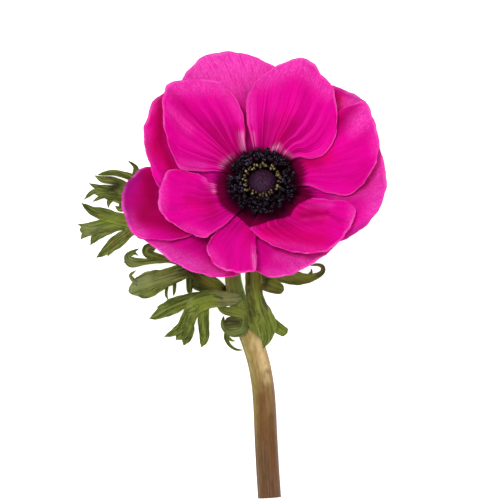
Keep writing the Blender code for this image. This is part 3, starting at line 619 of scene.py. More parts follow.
# %% Soft spots
SPOT_FADE = 0.9  # how fast a spot fades, seen at its radius


def line_distance(points, start, end):
    """How far each point is, in plan, from the line between two points."""
    run = end - start
    share = np.clip((points[:, :2] - start) @ run / (run @ run), 0, 1)
    return np.linalg.norm(points[:, :2] - start - share[:, None] * run, axis=1)


def spots(table, name, points):
    """How strongly the soft spots of a piece cover each point, from 0 to 1."""
    left = np.ones(len(points))
    for *line, radius, strength in table.get(name, ()):
        away = line_distance(points, np.array(line[:2]), np.array(line[2:])) / radius
        left *= 1 - strength * np.exp(-SPOT_FADE * away ** 2)
    return 1 - left


sample_spot = {"sample": ((0, 0, 10, 0, 2, 1.0),)}
sample_points = np.array(((5, 0, 0), (5, 2, 0), (5, 4, 0)))
print("a spot at 0, 1 and 2 radii:", np.round(spots(sample_spot, "sample", sample_points), 2))

# %% Painted sheen, painted shade and white streaks of each petal
# each spot runs from one point to another: x, y, x, y, radius, strength
# painted sheen where a petal arches back to the light, and lighter paint where it lies in shade
PAINTED_SHEEN_SPOTS = {
    "petal_outer_1": ((-20, 40, 4, 38, 9, 0.95), (-22, 34, -4, 31, 5, 0.4)),
    "petal_outer_7": ((24, 24.5, 32, 28, 2.0, 0.85),),
    "petal_outer_6": (
        (39, 6, 38, -10, 3.5, 0.6), (36, -14, 28, -19, 2.6, 0.3), (34, -4, 25, -4.5, 2, 0.4)),
    "petal_outer_5": (
        (2, -31, 7, -31.5, 2.0, 0.6), (12, -29.5, 23, -24.5, 3.2, 0.98),
        (5, -25.5, 14, -26, 1.6, 0.5)),
    "petal_outer_4": ((-37, -21.5, -33, -22.5, 2, 0.5), (-34, -23, -14, -31.4, 2.3, 0.8)),
    "petal_outer_3": ((-44.5, -12, -40, -18, 2.2, 0.6),),
    "petal_outer_2": (
        (-37, 24, -31, 29.5, 1.5, 0.5), (-39, 16, -38, 6, 1.8, 0.35), (-33, -1, -30, -4, 2, 0.1)),
    "petal_inner_1": (
        (-31, 31.5, -14, 32, 2.8, 0.7), (-13, 31, -7, 22, 1.8, 0.35), (-31, 24, -24, 17, 1.6, 0.4),
        (-27, 5, -20, 4.5, 1.8, 0.45)),
    "petal_inner_2": (
        (0, 34, 12, 39.5, 3.0, 0.8), (12, 39.5, 22, 30, 2.6, 0.6), (-4, 30, -4, 20, 1.3, 0.45)),
    "petal_inner_3": (
        (36, 24, 32, 20, 3.0, 0.75), (37.5, 19, 38, 10, 1.6, 0.4), (35, 20, 30, 16, 1.6, 0.35)),
    "petal_inner_4": (
        (29.8, -9, 29.5, -15, 1.3, 0.4), (2, -20, 20, -23.2, 1.2, 0.3),
        (15, -8.8, 23, -8.0, 0.9, 0.4), (13, -12.9, 22, -12.0, 0.6, 0.25)),
    "petal_inner_5": ((-17.3, -23, -13, -28.5, 1.3, 0.35), (-3, -22, -2, -29, 0.9, 0.5)),
    "petal_inner_6": (
        (-33.5, 0, -33.5, -9, 1.6, 0.5), (-26, -15.5, -18, -18.3, 1.3, 0.35),
        (-19, 0.4, -16.2, -3, 0.9, 0.75)),
}
# painted purple shade where a petal cups or turns away
PURPLE_SHADE_SPOTS = {
    "petal_outer_3": (
        (-45, -2, -41, 3.5, 2.6, 0.7), (-45.5, -3, -44.5, -14, 1.6, 0.6),
        (-41, -1, -42, -8, 4, 0.25)),
    "petal_outer_7": ((25, 31, 34, 27, 1.2, 0.5),),
    "petal_outer_1": ((-4.5, 13, -4.6, 22, 1.8, 0.45), (-4, 23, -4, 29, 2.4, 0.35)),
    "petal_outer_6": ((33, -15.5, 26, -19.5, 1.5, 0.3),),
}
# painted red shade, mostly beside the edges of petals that lie over it and near its foot
RED_SHADE_SPOTS = {
    "petal_outer_2": ((-33.5, 27, -33.8, 14, 2.0, 0.75), (-33, 12, -29.5, 3, 1.5, 0.6)),
    "petal_outer_3": (
        (-37.5, 1, -36.5, -8, 3.4, 0.85), (-39, -12, -27, -15.5, 3.0, 0.8),
        (-42, -6, -40, -13, 3, 0.45)),
    "petal_outer_4": ((-21, -20, -16, -24, 2.4, 0.4), (-17, -22, -16, -27, 1.6, 0.45)),
    "petal_outer_7": ((24.5, 27, 25, 22, 1.8, 0.25),),
    "petal_outer_1": ((-5, 14, -5, 22, 1.6, 0.6),),
    "petal_inner_3": (
        (26, 20.5, 30, 24, 2.2, 0.5), (22, 14, 26, 20, 1.8, 0.5), (15, 8.5, 21, 12, 2.0, 0.6),
        (30, 1, 34, 5, 2.5, 0.2), (14, 6.5, 19, 6, 1.8, 0.4)),
    "petal_inner_1": (
        (-30, 29.5, -20, 19, 0.7, 0.3), (-30, 26, -21, 17, 0.6, 0.25), (-11, 9, -15, 17, 4, 0.4),
        (-8, 11, -9.5, 17, 1.8, 0.35)),
    "petal_inner_2": ((1, 12, 3, 19, 3.4, 0.45), (6, 12, 10, 19, 2.6, 0.4)),
    "petal_inner_4": (
        (6, -13.5, 17, -10, 2.8, 0.4), (13, -11.8, 21.5, -10.6, 0.7, 0.5),
        (21.5, -10.6, 26, -13.4, 0.7, 0.4), (12, -14.5, 20, -13.8, 0.6, 0.3)),
    "petal_inner_5": ((-5, -14.5, -8, -15, 2.0, 0.3),),
    "petal_inner_6": ((-17, -3, -16, -11, 3.0, 0.4), (-24, -6, -17, -7, 1.4, 0.2)),
}
# crimson: partly the petal's own redder tone, partly painted shade
CRIMSON_SPOTS = {
    "petal_inner_4": ((2, -17, 19, -19.5, 3.5, 0.6), (13, -11, 20, -12, 2.5, 0.5)),
    "petal_inner_5": ((-5, -15.5, -5, -21, 2.0, 0.35),),
    "petal_inner_6": ((-24, -7, -17, -9, 2.4, 0.4),),
    "petal_inner_3": ((15, 6, 22, 8, 2.5, 0.6),),
    "petal_inner_1": ((-27, 22, -14, 11, 2.5, 0.1),),
    "petal_inner_2": ((6, 14, 8, 22, 2.5, 0.3),),
    "petal_outer_2": ((-33, 26, -35, 12, 3.0, 0.6), (-35, 10, -29, 2, 3.0, 0.6)),
    "petal_outer_3": ((-38, 2, -38, -8, 3.0, 0.7), (-37, -12, -27, -16, 3.0, 0.5)),
    "petal_outer_7": ((25, 28, 26, 24, 3.0, 0.5),),
    "petal_outer_1": ((-5, 17, -4, 24, 1.8, 0.6),),
}
PALE = {
    "petal_inner_1": ((-6.2, 10.5, -6.6, 15.5, 1.1, 0.55), (-13, 5.2, -9.8, 7.4, 1.1, 0.6)),
    "petal_inner_2": (
        (3.2, 10.2, 5.5, 11.6, 0.8, 0.75), (7, 9.8, 9.5, 8.2, 0.7, 0.6),
        (-2.6, 12, -3, 16, 0.5, 0.4)),
    "petal_inner_3": ((13.4, -2, 16, -3.2, 0.4, 0.8),),
    "petal_inner_6": ((-16.6, -0.8, -15.8, -4, 0.6, 0.4),),
    "petal_inner_5": ((-2.3, -28.8, -2.8, -24.5, 0.5, 0.5),),
}
USUAL_VEIN_SHADES = 0.35  # how strongly the veins and their painted crease shade show on a petal
VEIN_SHADES = {
    "petal_inner_1": 0.9, "petal_inner_2": 1.0, "petal_inner_3": 0.25, "petal_inner_4": 0.7,
    "petal_inner_5": 0.35, "petal_inner_6": 0.4, "petal_outer_1": 0.6, "petal_outer_3": 0.8,
}
print("petals with a red shade:", len(RED_SHADE_SPOTS))

# %% [markdown]
# The dark foot of the petals is a maroon stain, painted darker towards the eye as the shade deep
# in the cup. It has an uneven edge: on some petals it fades out in streaks, and on the two that
# stand up steeply below the eye it stops short at the fold. The edge is drawn once for the whole
# flower, and each petal says how soft it is there.

# %% The dark hollow round the eye
HOLLOW = np.array((
    (13.4, 0), (13.8, 3.4), (12.4, 6.3), (8.2, 8.0), (3.8, 9.6), (0, 10.2), (-4, 10.4),
    (-7.8, 8.8), (-11.0, 6.3), (-12.8, 3.6), (-14.6, 0.5), (-14.8, -4), (-13.4, -8),
    (-9.4, -10.8), (-6.6, -13.0), (-4.2, -15.3), (-2.2, -14.9), (3.5, -12.9), (6.9, -12.3),
    (9.2, -11.7), (10.4, -9.5), (11.9, -7.7), (14.2, -6.6), (16.6, -5.6), (15, -3), (13.6, -1.8),
))
USUAL_SOFTNESS = 3.0  # mm over which the stain and its painted shade fade
SOFTNESS = {
    "petal_inner_4": 0.5, "petal_inner_5": 0.4, "petal_inner_6": 1.2, "petal_inner_1": 2.2,
    "petal_inner_2": 2.0, "petal_inner_3": 2.2,
}


def hollow_distance(points):
    """How far each point is outside the hollow, in plan; negative inside."""
    nearest = np.full(len(points), np.inf)
    inside = np.zeros(len(points), bool)
    for start, end in zip(HOLLOW, np.roll(HOLLOW, -1, axis=0)):
        nearest = np.minimum(nearest, line_distance(points, start, end))
        run = end - start
        if run[1]:
            # a ray to the right of the point crosses this side of the edge
            beside = (start[1] > points[:, 1]) != (end[1] > points[:, 1])
            crossing = start[0] + (points[:, 1] - start[1]) * run[0] / run[1]
            inside ^= beside & (points[:, 0] < crossing)
    return np.where(inside, -nearest, nearest)


eye_depth = -hollow_distance(np.zeros((1, 3)))[0]
print("the middle of the eye is", round(eye_depth, 1), "mm inside the hollow")

# %% [markdown]
# A petal is not a smooth bowl. Creases fan out from its claw, its rim waves a little, some
# petals fold where they press on a neighbour, and three lay one side down on the petal below.
# Waves and soft strips of height do all of this, so the outline stays where it was measured.

# %% Creases and folds
RIM_THICKNESS, BLADE_THICKNESS = 0.12, 0.34
RIM_WIDTH = 2.5  # from the edge of a petal to its full thickness
SIDE_LAG = 0.15  # the sides count as this much further in, so they have less of a pale rim
CREASE_WAVES = ((6, 0.10), (11, 0.09), (19, 0.06), (31, 0.035))
RIM_WAVES = ((3, 0.132), (7, 0.11), (13, 0.066))
CREASES = {"petal_inner_1": 1.9, "petal_inner_2": 1.5, "petal_inner_6": 1.3, "petal_inner_4": 1.3}
# a side edge that lies down on the petal below it: how far it drops
LAID_DOWN = {"petal_inner_5": 0.55, "petal_outer_3": 0.45, "petal_inner_3": 0.35}
# folds that run over a petal: x, y, x, y, half width, depth
FOLDS = {
    "petal_inner_1": ((-31, 30, -9, 10, 1.3, 0.75), (-30, 22, -14, 9, 1.0, 0.3)),
    "petal_inner_2": ((9, 24, 3, 12, 0.9, 0.35), (14, 27, 6, 13, 0.9, 0.3)),
    "petal_inner_6": ((-29, -8, -17, -5, 0.9, 0.3), (-25, -12, -15, -9, 0.8, 0.25)),
    "petal_inner_4": ((16, -20, 9, -13, 1.0, 0.4), (24, -16, 15, -9, 1.0, 0.3)),
    "petal_inner_3": ((31, 19, 18, 9, 2.2, -0.7), (27, 22, 17, 12, 1.6, 0.7)),
    "petal_outer_7": ((32, 27, 22, 22, 1.2, -0.6),),
    "petal_inner_5": ((-9, -27, -7, -16, 0.8, 0.2),),
}


def with_relief(name, plan, heights, u, t, rng):
    """The heights with creases, a waving rim, a side laid down, and folds."""
    crease = ripple((u + 1) / 2, rng, CREASE_WAVES) * CREASES.get(name, 1.0)
    heights = heights + crease * np.sin(math.pi * np.clip(t * 1.15, 0, 1)) ** 0.7
    heights = heights + t ** 4 * ripple((u + 1) / 2, rng, RIM_WAVES)
    drop = np.clip((u - 0.45) / 0.55, 0, 1) ** 2 * np.clip(t / 0.5 - 0.3, 0, 1)
    heights = heights - LAID_DOWN.get(name, 0.0) * drop
    for *line, half_width, depth in FOLDS.get(name, ()):
        fold = spots({name: ((*line, half_width, 1.0),)}, name, plan.reshape(-1, 2))
        heights = heights - depth * fold.reshape(heights.shape)
    return heights


print("petals with folds:", len(FOLDS))

# %% Grow the petals
def rim_distance(sheet):
    """How far each point of a petal is from its rim, measured on the petal."""
    lengths = np.linalg.norm(np.diff(sheet, axis=0), axis=2)
    to_tip = np.vstack([np.cumsum(lengths[::-1], axis=0)[::-1], np.zeros((1, COLUMNS + 1))])
    widths = np.linalg.norm(np.diff(sheet, axis=1), axis=2)
    run = np.hstack([np.zeros((ROWS + 1, 1)), np.cumsum(widths, axis=1)])
    to_side = np.minimum(run, run[:, -1:] - run)
    return np.minimum(to_tip, to_side + SIDE_LAG)


def eye_distance(points):
    """How far each point is from the axis of the bloom."""
    offset = points - HEAD
    return np.linalg.norm(offset - np.outer(offset @ HEAD_AXIS, HEAD_AXIS), axis=1)


def grow_petal(name):
    """One petal as a mesh piece: its plan, its height and relief, its skins and its layers."""
    rng = random.Random(name)
    plan = petal_plan(petal_outline(name, rng))
    u = np.linspace(-1, 1, COLUMNS + 1)[None, :]
    t = np.linspace(0, 1, ROWS + 1)[:, None]
    heights = with_relief(name, plan, solid_heights(name, plan), u, t, rng)
    sheet = np.dstack([plan, heights])
    rim = rim_distance(sheet)
    fullness = np.clip(rim / RIM_WIDTH, 0, 1)
    points, faces = blade(sheet, RIM_THICKNESS + (BLADE_THICKNESS - RIM_THICKNESS) * fullness)
    grown = np.stack(np.broadcast_arrays((u + 1) / 2, t), axis=2).reshape(-1, 2)
    vein_shade = VEIN_SHADES.get(name, USUAL_VEIN_SHADES) * np.clip(1.35 - 1.5 * np.broadcast_to(t, rim.shape), 0, 1)
    row = row_of(name)
    piece(
        name.replace("petal", "blade"), points, faces,
        INNER_SKIN if row == "inner" else OUTER_SKIN, [name],
        uv=np.vstack([grown, grown]),
        layers={
            "rim_mm": np.tile(rim.ravel(), 2), "eye_mm": eye_distance(points),
            "vein_shade": np.tile(vein_shade.ravel(), 2),
            "hollow": hollow_distance(points) / SOFTNESS.get(name, USUAL_SOFTNESS),
            "painted_sheen": spots(PAINTED_SHEEN_SPOTS, name, points), "purple": spots(PURPLE_SHADE_SPOTS, name, points),
            "red": spots(RED_SHADE_SPOTS, name, points), "pale": spots(PALE, name, points),
            "crimson": spots(CRIMSON_SPOTS, name, points),
        },
    )


for petal in PETALS:
    grow_petal(petal)

# %% [markdown]
# ## The black eye
#
# Three things make the eye: a felted dome of some hundreds of carpels, a narrow ring of short
# olive stamens that have shed their pollen, and round it about two hundred black ones. Their
# tissue is waxy or felted. Shade in the gaps and light on the sides that face the lamps are
# painted into the colour: each finish has a dark colour, of painted shade, for the gaps, and two
# that vary over the rest in small blotches.

# %% Eye finishes
def blotches(material, cell_mm, detail, roughness=0.5):
    """Noise in the space of the piece, with cells of this size."""
    place = add_node(material, "ShaderNodeTexCoord").outputs["Object"]
    return add_node(
        material, "ShaderNodeTexNoise",
        Vector=place, Scale=1 / (cell_mm * MM), Detail=detail, Roughness=roughness,
    ).outputs["Fac"]


def tissue_finish(name, dark_and_shade, body, high, cell_mm, roughness, **settings):
    """Tissue that varies between two colours; where the layer "lit" is low it is painted dark, as
    shade.
    """
    material, shader = new_finish(name, Roughness=roughness, IOR=1.4, **settings)
    noise = blotches(material, cell_mm, 3.0)
    colour = coat(material, body, high, (noise, 0.4, 0.62))
    colour = coat(material, dark_and_shade, colour, "lit")
    return complete(material, shader, colour, noise, noise, 0.0, strength=0.5, depth_mm=0.1)


ANTHER_BLACK = tissue_finish(
    "black anther wax", "#070104", "#140c1a", "#665c74", cell_mm=0.7, roughness=0.3,
    Specular_IOR_Level=0.1)
ANTHER_OLIVE = tissue_finish(
    "olive anther husk", "#1a0a10", "#7c6634", "#d8c48a", cell_mm=0.6, roughness=0.35,
    Specular_IOR_Level=0.2)
CARPEL_FELT = tissue_finish(
    "purple carpel felt", "#0d040c", "#1e0a1c", "#4a2244", cell_mm=0.45, roughness=0.6,
    Specular_IOR_Level=0.2, Sheen_Weight=0.12, Sheen_Roughness=0.3,
    Sheen_Tint=linear("#d49ac6"),
)
print("eye finishes:", ", ".join(skin.name for skin in (ANTHER_BLACK, ANTHER_OLIVE, CARPEL_FELT)))

# %% [markdown]
# Each stamen is a thread with an anther at its end. A black anther is two pollen sacs side by
# side, with a groove between them, and an olive one has shrunk to a single husk. One stamen
# could be modelled and copied, but no two are alike, so each is drawn with its own small
# chances: where it stands, how it leans and rolls, how long it is and how pale its painted
# highlight is.

# %% A tube through rings
def ring_faces(steps, sides):
    """The faces of a closed body through rings of points, with a cap at each end."""
    faces = []
    for r in range(steps):
        for k in range(sides):
            a, b = r * sides + k, r * sides + (k + 1) % sides
            faces.append((a, b, b + sides, a + sides))
    last = range(steps * sides, (steps + 1) * sides)
    return faces + [tuple(range(sides))[::-1], tuple(last)]


def tube(rings, sides):
    """A closed body through rings of (centre, side, over): side and over span each ring."""
    turns = [2 * math.pi * k / sides for k in range(sides)]
    points = [
        centre + math.cos(turn) * side + math.sin(turn) * over
        for centre, side, over in rings for turn in turns
    ]
    return np.array(points), ring_faces(len(rings) - 1, sides)


def square_to(direction, hint):
    """Two directions at right angles to a direction and to each other."""
    side = np.cross(direction, hint)
    side /= np.linalg.norm(side)
    return side, np.cross(side, direction)


print("a tube of 6 rings with 5 sides has", len(ring_faces(5, 5)), "faces")

# %% Threads and pollen sacs
THREAD_RADIUS, THREAD_RINGS, THREAD_SIDES = 0.15, 6, 5
SAC_RINGS, SAC_SIDES = 7, 7
HIGHLIGHT_SIDE = np.array((-0.35, 0.35, 0.87))  # the sacs are painted paler on this side, as a highlight


def thread(start, bend, stop):
    """A thin round thread from start to stop, drawn towards the bend."""
    line = [
        (1 - s) ** 2 * start + 2 * s * (1 - s) * bend + s * s * stop
        for s in np.linspace(0, 1, THREAD_RINGS)
    ]
    rings = []
    for k, point in enumerate(line):
        way = line[min(k + 1, THREAD_RINGS - 1)] - line[max(k - 1, 0)]
        side, over = square_to(way / np.linalg.norm(way), HEAD_AXIS)
        rings.append((point, THREAD_RADIUS * side, THREAD_RADIUS * over))
    points, faces = tube(rings, THREAD_SIDES)
    return points, faces, np.zeros(len(points))


def sac(middle, lean, side, over, length, width, tone):
    """A long, blunt sac of pollen, painted as pale as its tone where it faces the light, as a
    highlight.
    """
    rings = []
    for s in np.linspace(-1, 1, SAC_RINGS):
        swell = width * math.sqrt(max(0.03, 1 - abs(s) ** 2.6))
        rings.append((middle + lean * length * s * 0.5, swell * side, 1.15 * swell * over))
    points, faces = tube(rings, SAC_SIDES)
    outward = points - middle
    facing = outward @ HIGHLIGHT_SIDE / np.linalg.norm(outward, axis=1)
    return points, faces, tone * (0.12 + 0.88 * np.clip(facing, 0, 1) ** 6)


sample_thread = thread(head_point(6, 0, 0), head_point(8, 0, 3), head_point(9, 0, 5))
print("a thread has", len(sample_thread[1]), "faces")

# %% One stamen
SAC_WIDTH, SAC_APART, HUSK_WIDTH = 0.23, 0.2, 0.345  # for each millimetre of size
LEANS = (-0.3, 1.1)  # how far an anther rises for each millimetre that it leans out


def stamen(azimuth, root, end, size, rng, sacs=True, oval=1.0):
    """A thread from its root (radius, height) to its end, and the pollen sacs there."""
    def at(radius, height, turn=0.0):
        angle = azimuth + turn
        return head_point(radius * math.cos(angle), oval * radius * math.sin(angle), height)

    turn = rng.uniform(-0.12, 0.12)
    start, stop = at(*root), at(*end, turn)
    bend = at(root[0] * 0.35 + end[0] * 0.65, root[1] * 0.6 + end[1] * 0.4, turn * 0.5)
    lean = at(end[0] + 1.0, end[1] + rng.uniform(*LEANS), turn + rng.uniform(-0.07, 0.07)) - stop
    lean /= np.linalg.norm(lean)
    side, over = square_to(lean, HEAD_AXIS)
    roll = rng.uniform(-0.8, 0.8)
    side, over = (
        math.cos(roll) * side + math.sin(roll) * over,
        math.cos(roll) * over - math.sin(roll) * side,
    )
    length = size * rng.uniform(0.9, 1.25)
    # how pale the painted highlight of this anther is
    tone = 0.1 + 0.9 * rng.random() ** (1.6 if sacs else 0.8)
    parts = [thread(start, bend, stop)]
    if not sacs:
        return parts + [sac(stop, lean, side, over, length, HUSK_WIDTH * size, tone)]
    return parts + [
        sac(stop + side * sign * SAC_APART * size, lean, side, over, length,
            SAC_WIDTH * size, tone)
        for sign in (-1, 1)
    ]


sample_stamen = stamen(0.0, (6.7, 0.5), (9.0, 4.9), 1.5, random.Random(1))
print("a black stamen has", len(sample_stamen), "parts: a thread and two sacs")

# %% [markdown]
# A ring of stamens is one piece, so its threads, its sacs and the cushion under them are joined
# into one mesh. The cushion is a profile turned about the axis of the bloom: dark tissue that
# fills the cup, painted in the dark colour of shade, so that no light shows between the threads.

# %% A ring as one piece
COLLAR_SIDES = 64


def collar(profile):
    """A body turned about the axis of the bloom from (radius, height) points."""
    points, faces = [], []
    for k in range(COLLAR_SIDES):
        turn = 2 * math.pi * k / COLLAR_SIDES
        for radius, height in profile:
            points.append(head_point(radius * math.cos(turn), radius * math.sin(turn), height))
    rank = len(profile)
    for k in range(COLLAR_SIDES):
        a, b = rank * k, rank * ((k + 1) % COLLAR_SIDES)
        faces += [
            (a + m, b + m, b + (m + 1) % rank, a + (m + 1) % rank) for m in range(rank)]
    return np.array(points), faces, np.zeros(len(points))


def joined(parts):
    """The points and the faces of some parts, as those of one mesh."""
    points, faces, count = [], [], 0
    for part_points, part_faces, *_ in parts:
        points.append(part_points)
        faces += [tuple(v + count for v in face) for face in part_faces]
        count += len(part_points)
    return np.vstack(points), faces


def ring_of_stamens(rows, root, size, seed, sacs, oval=1.0):
    """The stamens of some rows, each a little out of its place."""
    rng = random.Random(seed)
    parts = []
    for count, radius, height in rows:
        start = rng.random()
        for k in range(count):
            azimuth = 2 * math.pi * (k + start + rng.uniform(-0.3, 0.3)) / count
            end = (radius + rng.uniform(-0.45, 0.45), height + rng.uniform(-0.45, 0.45))
            parts += stamen(azimuth, root, end, size * rng.uniform(0.85, 1.15), rng, sacs, oval)
    return parts


def ring_piece(name, node_name, material, parts):
    """The parts of a ring as one mesh piece."""
    points, faces = joined(parts)
    lit = np.concatenate([part[2] for part in parts])
    piece(
        name, points, turned_outwards(points, faces), material, [node_name],
        layers={"lit": lit})


print("a collar has", COLLAR_SIDES, "sides")

# %% [markdown]
# The black anthers stand in five rows that rise to a soft ridge and fall away outside. The
# olive ones are two low rows close to the dome, in a slightly oval ring.

# %% Two rings of stamens
# how many, then the radius and height of the anthers
BLACK_ROWS = (
    (28, 7.3, 4.9), (36, 8.3, 5.1), (42, 9.25, 4.9), (46, 10.15, 4.3), (42, 10.95, 3.5),
)
OLIVE_ROWS = ((26, 5.5, 4.3), (34, 6.3, 4.2))
# radius and height: the cushion fills the cup that the petals stand round; it is painted in the
# dark colour of shade
BLACK_CUSHION = (
    (3.4, -5.7), (5.1, -5.5), (5.1, -5.2), (4.1, -4.6), (4.0, -3.2), (4.6, -1.9), (5.6, -0.9),
    (7.2, -0.1), (7.2, 1.0), (6.1, 1.0), (6.1, 0.1), (3.4, 0.1),
)
# the olive collar is painted in the dark colour of shade too
OLIVE_COLLAR = ((3.9, -0.4), (5.6, -0.4), (5.6, 0.6), (3.9, 0.6))
BLACK_ROOT, OLIVE_ROOT = (6.7, 0.5), (5.3, 0.2)
BLACK_SIZE, OLIVE_SIZE = 1.5, 1.2
OLIVE_OVAL = 0.9

ring_piece(
    "stamens_black", "stamens_outer", ANTHER_BLACK,
    [collar(BLACK_CUSHION)]
    + ring_of_stamens(BLACK_ROWS, BLACK_ROOT, BLACK_SIZE, seed=3, sacs=True),
)
ring_piece(
    "stamens_olive", "stamens_inner", ANTHER_OLIVE,
    [collar(OLIVE_COLLAR)]
    + ring_of_stamens(OLIVE_ROWS, OLIVE_ROOT, OLIVE_SIZE, seed=5, sacs=False, oval=OLIVE_OVAL),
)
print("black stamens:", sum(row[0] for row in BLACK_ROWS))
print("olive stamens:", sum(row[0] for row in OLIVE_ROWS))

# %% [markdown]
# The dome is a spiral of tiny carpels, each with a blunt style. They sit like the seeds of a
# strawberry, so their middles follow the golden angle, and each one lifts the skin a little.
# Light on the carpel tips, and shade in the gaps and towards the foot of the dome, are
# painted into its colour.

# %% Carpel dome
DOME_RADIUS, DOME_HEIGHT, DOME_BASE = 4.75, 3.9, 1.0
DOME_RINGS, DOME_SIDES = 60, 150
CARPELS = 420
CARPEL_LIFT = 0.26
CARPEL_TIGHTNESS = 350.0  # how steeply each one falls away from its middle
SKIN_DROP = 0.15  # the skin between the carpels lies this far inside the dome
SWEEP = 0.985  # the rings stop just short of the top, where a cap closes them
GOLDEN_ANGLE = math.pi * (3 - math.sqrt(5))


def carpel_dome():
    """The dome's points, its faces, and how brightly each point is painted, as light and shade."""
    index = np.arange(CARPELS) + 0.5
    polar = np.arccos(1 - index / CARPELS)
    turn = index * GOLDEN_ANGLE
    seats = np.stack(
        [np.sin(polar) * np.cos(turn), np.sin(polar) * np.sin(turn), np.cos(polar)], axis=1)
    points, lit = [], []
    for i in range(DOME_RINGS + 1):
        angle = math.pi / 2 * (1 - i / DOME_RINGS * SWEEP)
        for k in range(DOME_SIDES):
            way = 2 * math.pi * k / DOME_SIDES
            unit = np.array((
                math.sin(angle) * math.cos(way), math.sin(angle) * math.sin(way), math.cos(angle)))
            near = 1 - (seats @ unit).max()
            lift = CARPEL_LIFT * math.exp(-near * CARPEL_TIGHTNESS)
            # painted light: bright on the carpel tips and near the top; painted shade in the gaps
            # and at the foot
            lit.append((0.35 + 2.5 * lift) * (0.12 + 0.88 * math.cos(angle) ** 0.8))
            radius = (DOME_RADIUS - SKIN_DROP + lift) * math.sin(angle) ** 0.9
            height = DOME_BASE + (DOME_HEIGHT - SKIN_DROP + lift) * math.cos(angle)
            points.append(head_point(radius * math.cos(way), radius * math.sin(way), height))
    return np.array(points), ring_faces(DOME_RINGS, DOME_SIDES), lit


dome_points, dome_faces, dome_lit = carpel_dome()
piece(
    "carpels", dome_points, dome_faces, CARPEL_FELT, ["pistil"],
    layers={"lit": dome_lit})
print("carpels on the dome:", CARPELS)

# %% [markdown]
# ## Leaves
#
# Three leaves make the ruff. Their skin is matt and waxy: cloudy green, with ribs side by side
# and short pale hairs between them, and shade painted dark into the grooves. Young tips are fresh
# green, and that bright green is also painted as highlight on some folds. Older ones have rust
# spots and grey, felted undersides, and shade is painted dark into hollows, folds and the gaps
# between lobes. The ribs are drawn on the UV map, 10 mm to a unit, so they run along each lobe;
# the clouds are drawn in space, so they pass from lobe to lobe.

# %% Leaf skin
DEEP_GREEN, LEAF_GREEN, FELT_GREY = "#3c4a12", "#616e24", "#858f60"
# the groove green is painted shade in the grooves between the ribs
RIB_GREEN, GROOVE_SHADE, HAIR_GREEN = "#8e9a52", "#283409", "#96a055"
# the fresh green is partly painted highlight on some folds
OLD_GREEN, FRESH_HIGHLIT_GREEN, MIDRIB_GREEN = "#38431a", "#7d9030", "#8d9a52"
# the bruise brown is painted shade in hollows, folds and gaps between lobes
RUST_BROWN, LEAF_SHADE_BROWN = "#a55f38", "#211c08"


def leaf_finish(name):
    """Matt waxy green: cloudy patches, ribs, a paler underside, rust spots, painted light and
    shade.
    """
    material, shader = new_finish(
        name, Roughness=0.45, IOR=1.42, Specular_IOR_Level=0.12,
        Sheen_Weight=0.02, Sheen_Roughness=0.5,
    )
    clouds = blotches(material, 3.84615, 4.0, 0.6)
    ribs = streaks(material, 13, 0.8, 3.0)  # 0.8 mm apart
    hairs = streaks(material, 46, 2.5, 2.0, offset=5.0)  # 0.2 mm apart and 4 mm long
    colour = coat(material, DEEP_GREEN, LEAF_GREEN, (clouds, 0.35, 0.65))
    colour = coat(material, colour, FELT_GREY, "grey")
    colour = coat(material, colour, RIB_GREEN, (ribs, 0.52, 0.68), 0.5)
    # painted shade in the grooves between the ribs
    colour = coat(material, colour, GROOVE_SHADE, (ribs, 0.46, 0.32), 0.7)
    colour = coat(material, colour, HAIR_GREEN, (hairs, 0.5, 0.7), 0.35)
    colour = coat(material, colour, OLD_GREEN, "tint")
    # fresh green, partly painted highlight on folds
    colour = coat(material, colour, FRESH_HIGHLIT_GREEN, "fresh_and_highlit", (ribs, 0.3, 0.6, 0.5, 1.0))
    colour = coat(material, colour, MIDRIB_GREEN, ("rib_mm", 0.35, 0.05), 0.3)
    colour = coat(material, colour, RUST_BROWN, "rust", 0.7)
    # painted shade in hollows, folds and the gaps between lobes
    colour = coat(material, colour, LEAF_SHADE_BROWN, "dark", (hairs, 0.62, 0.42, 0.75, 1.0))
    return complete(material, shader, colour, ribs, hairs, 0.4, strength=0.7, depth_mm=0.3)


LEAF_SKIN = leaf_finish("anemone leaf wax")
print("leaf finish:", LEAF_SKIN.name)

# %% [markdown]
# No two lobes are the same colour. Marks of age, and painted highlight and shade, are soft
# spots again, in the same plan as those of the petals.

# %% Marks on the leaves, in plan
# fresh green of young tips, and painted highlight on some folds
FRESH_AND_HIGHLIT = {
    "leaf_left": ((-53, -13.5, -45, -13.2, 2.2, 0.7), (-40, -28, -32, -27, 2, 0.3),
                  (-18.5, -33.2, -13.5, -35.6, 2.2, 0.9)),
    "leaf_lower": ((-22.5, -42, -17, -40.3, 2.2, 0.8), (-12, -43.5, -7, -43.5, 1.2, 0.4)),
    "leaf_right": ((-2.4, -29, -1.6, -42, 1.3, 0.8), (1, -46, 7, -50, 2.5, 0.4),
                   (3, -33, 7, -36, 1.6, 0.5), (6, -31.5, 16, -32.5, 2.2, 0.7)),
}
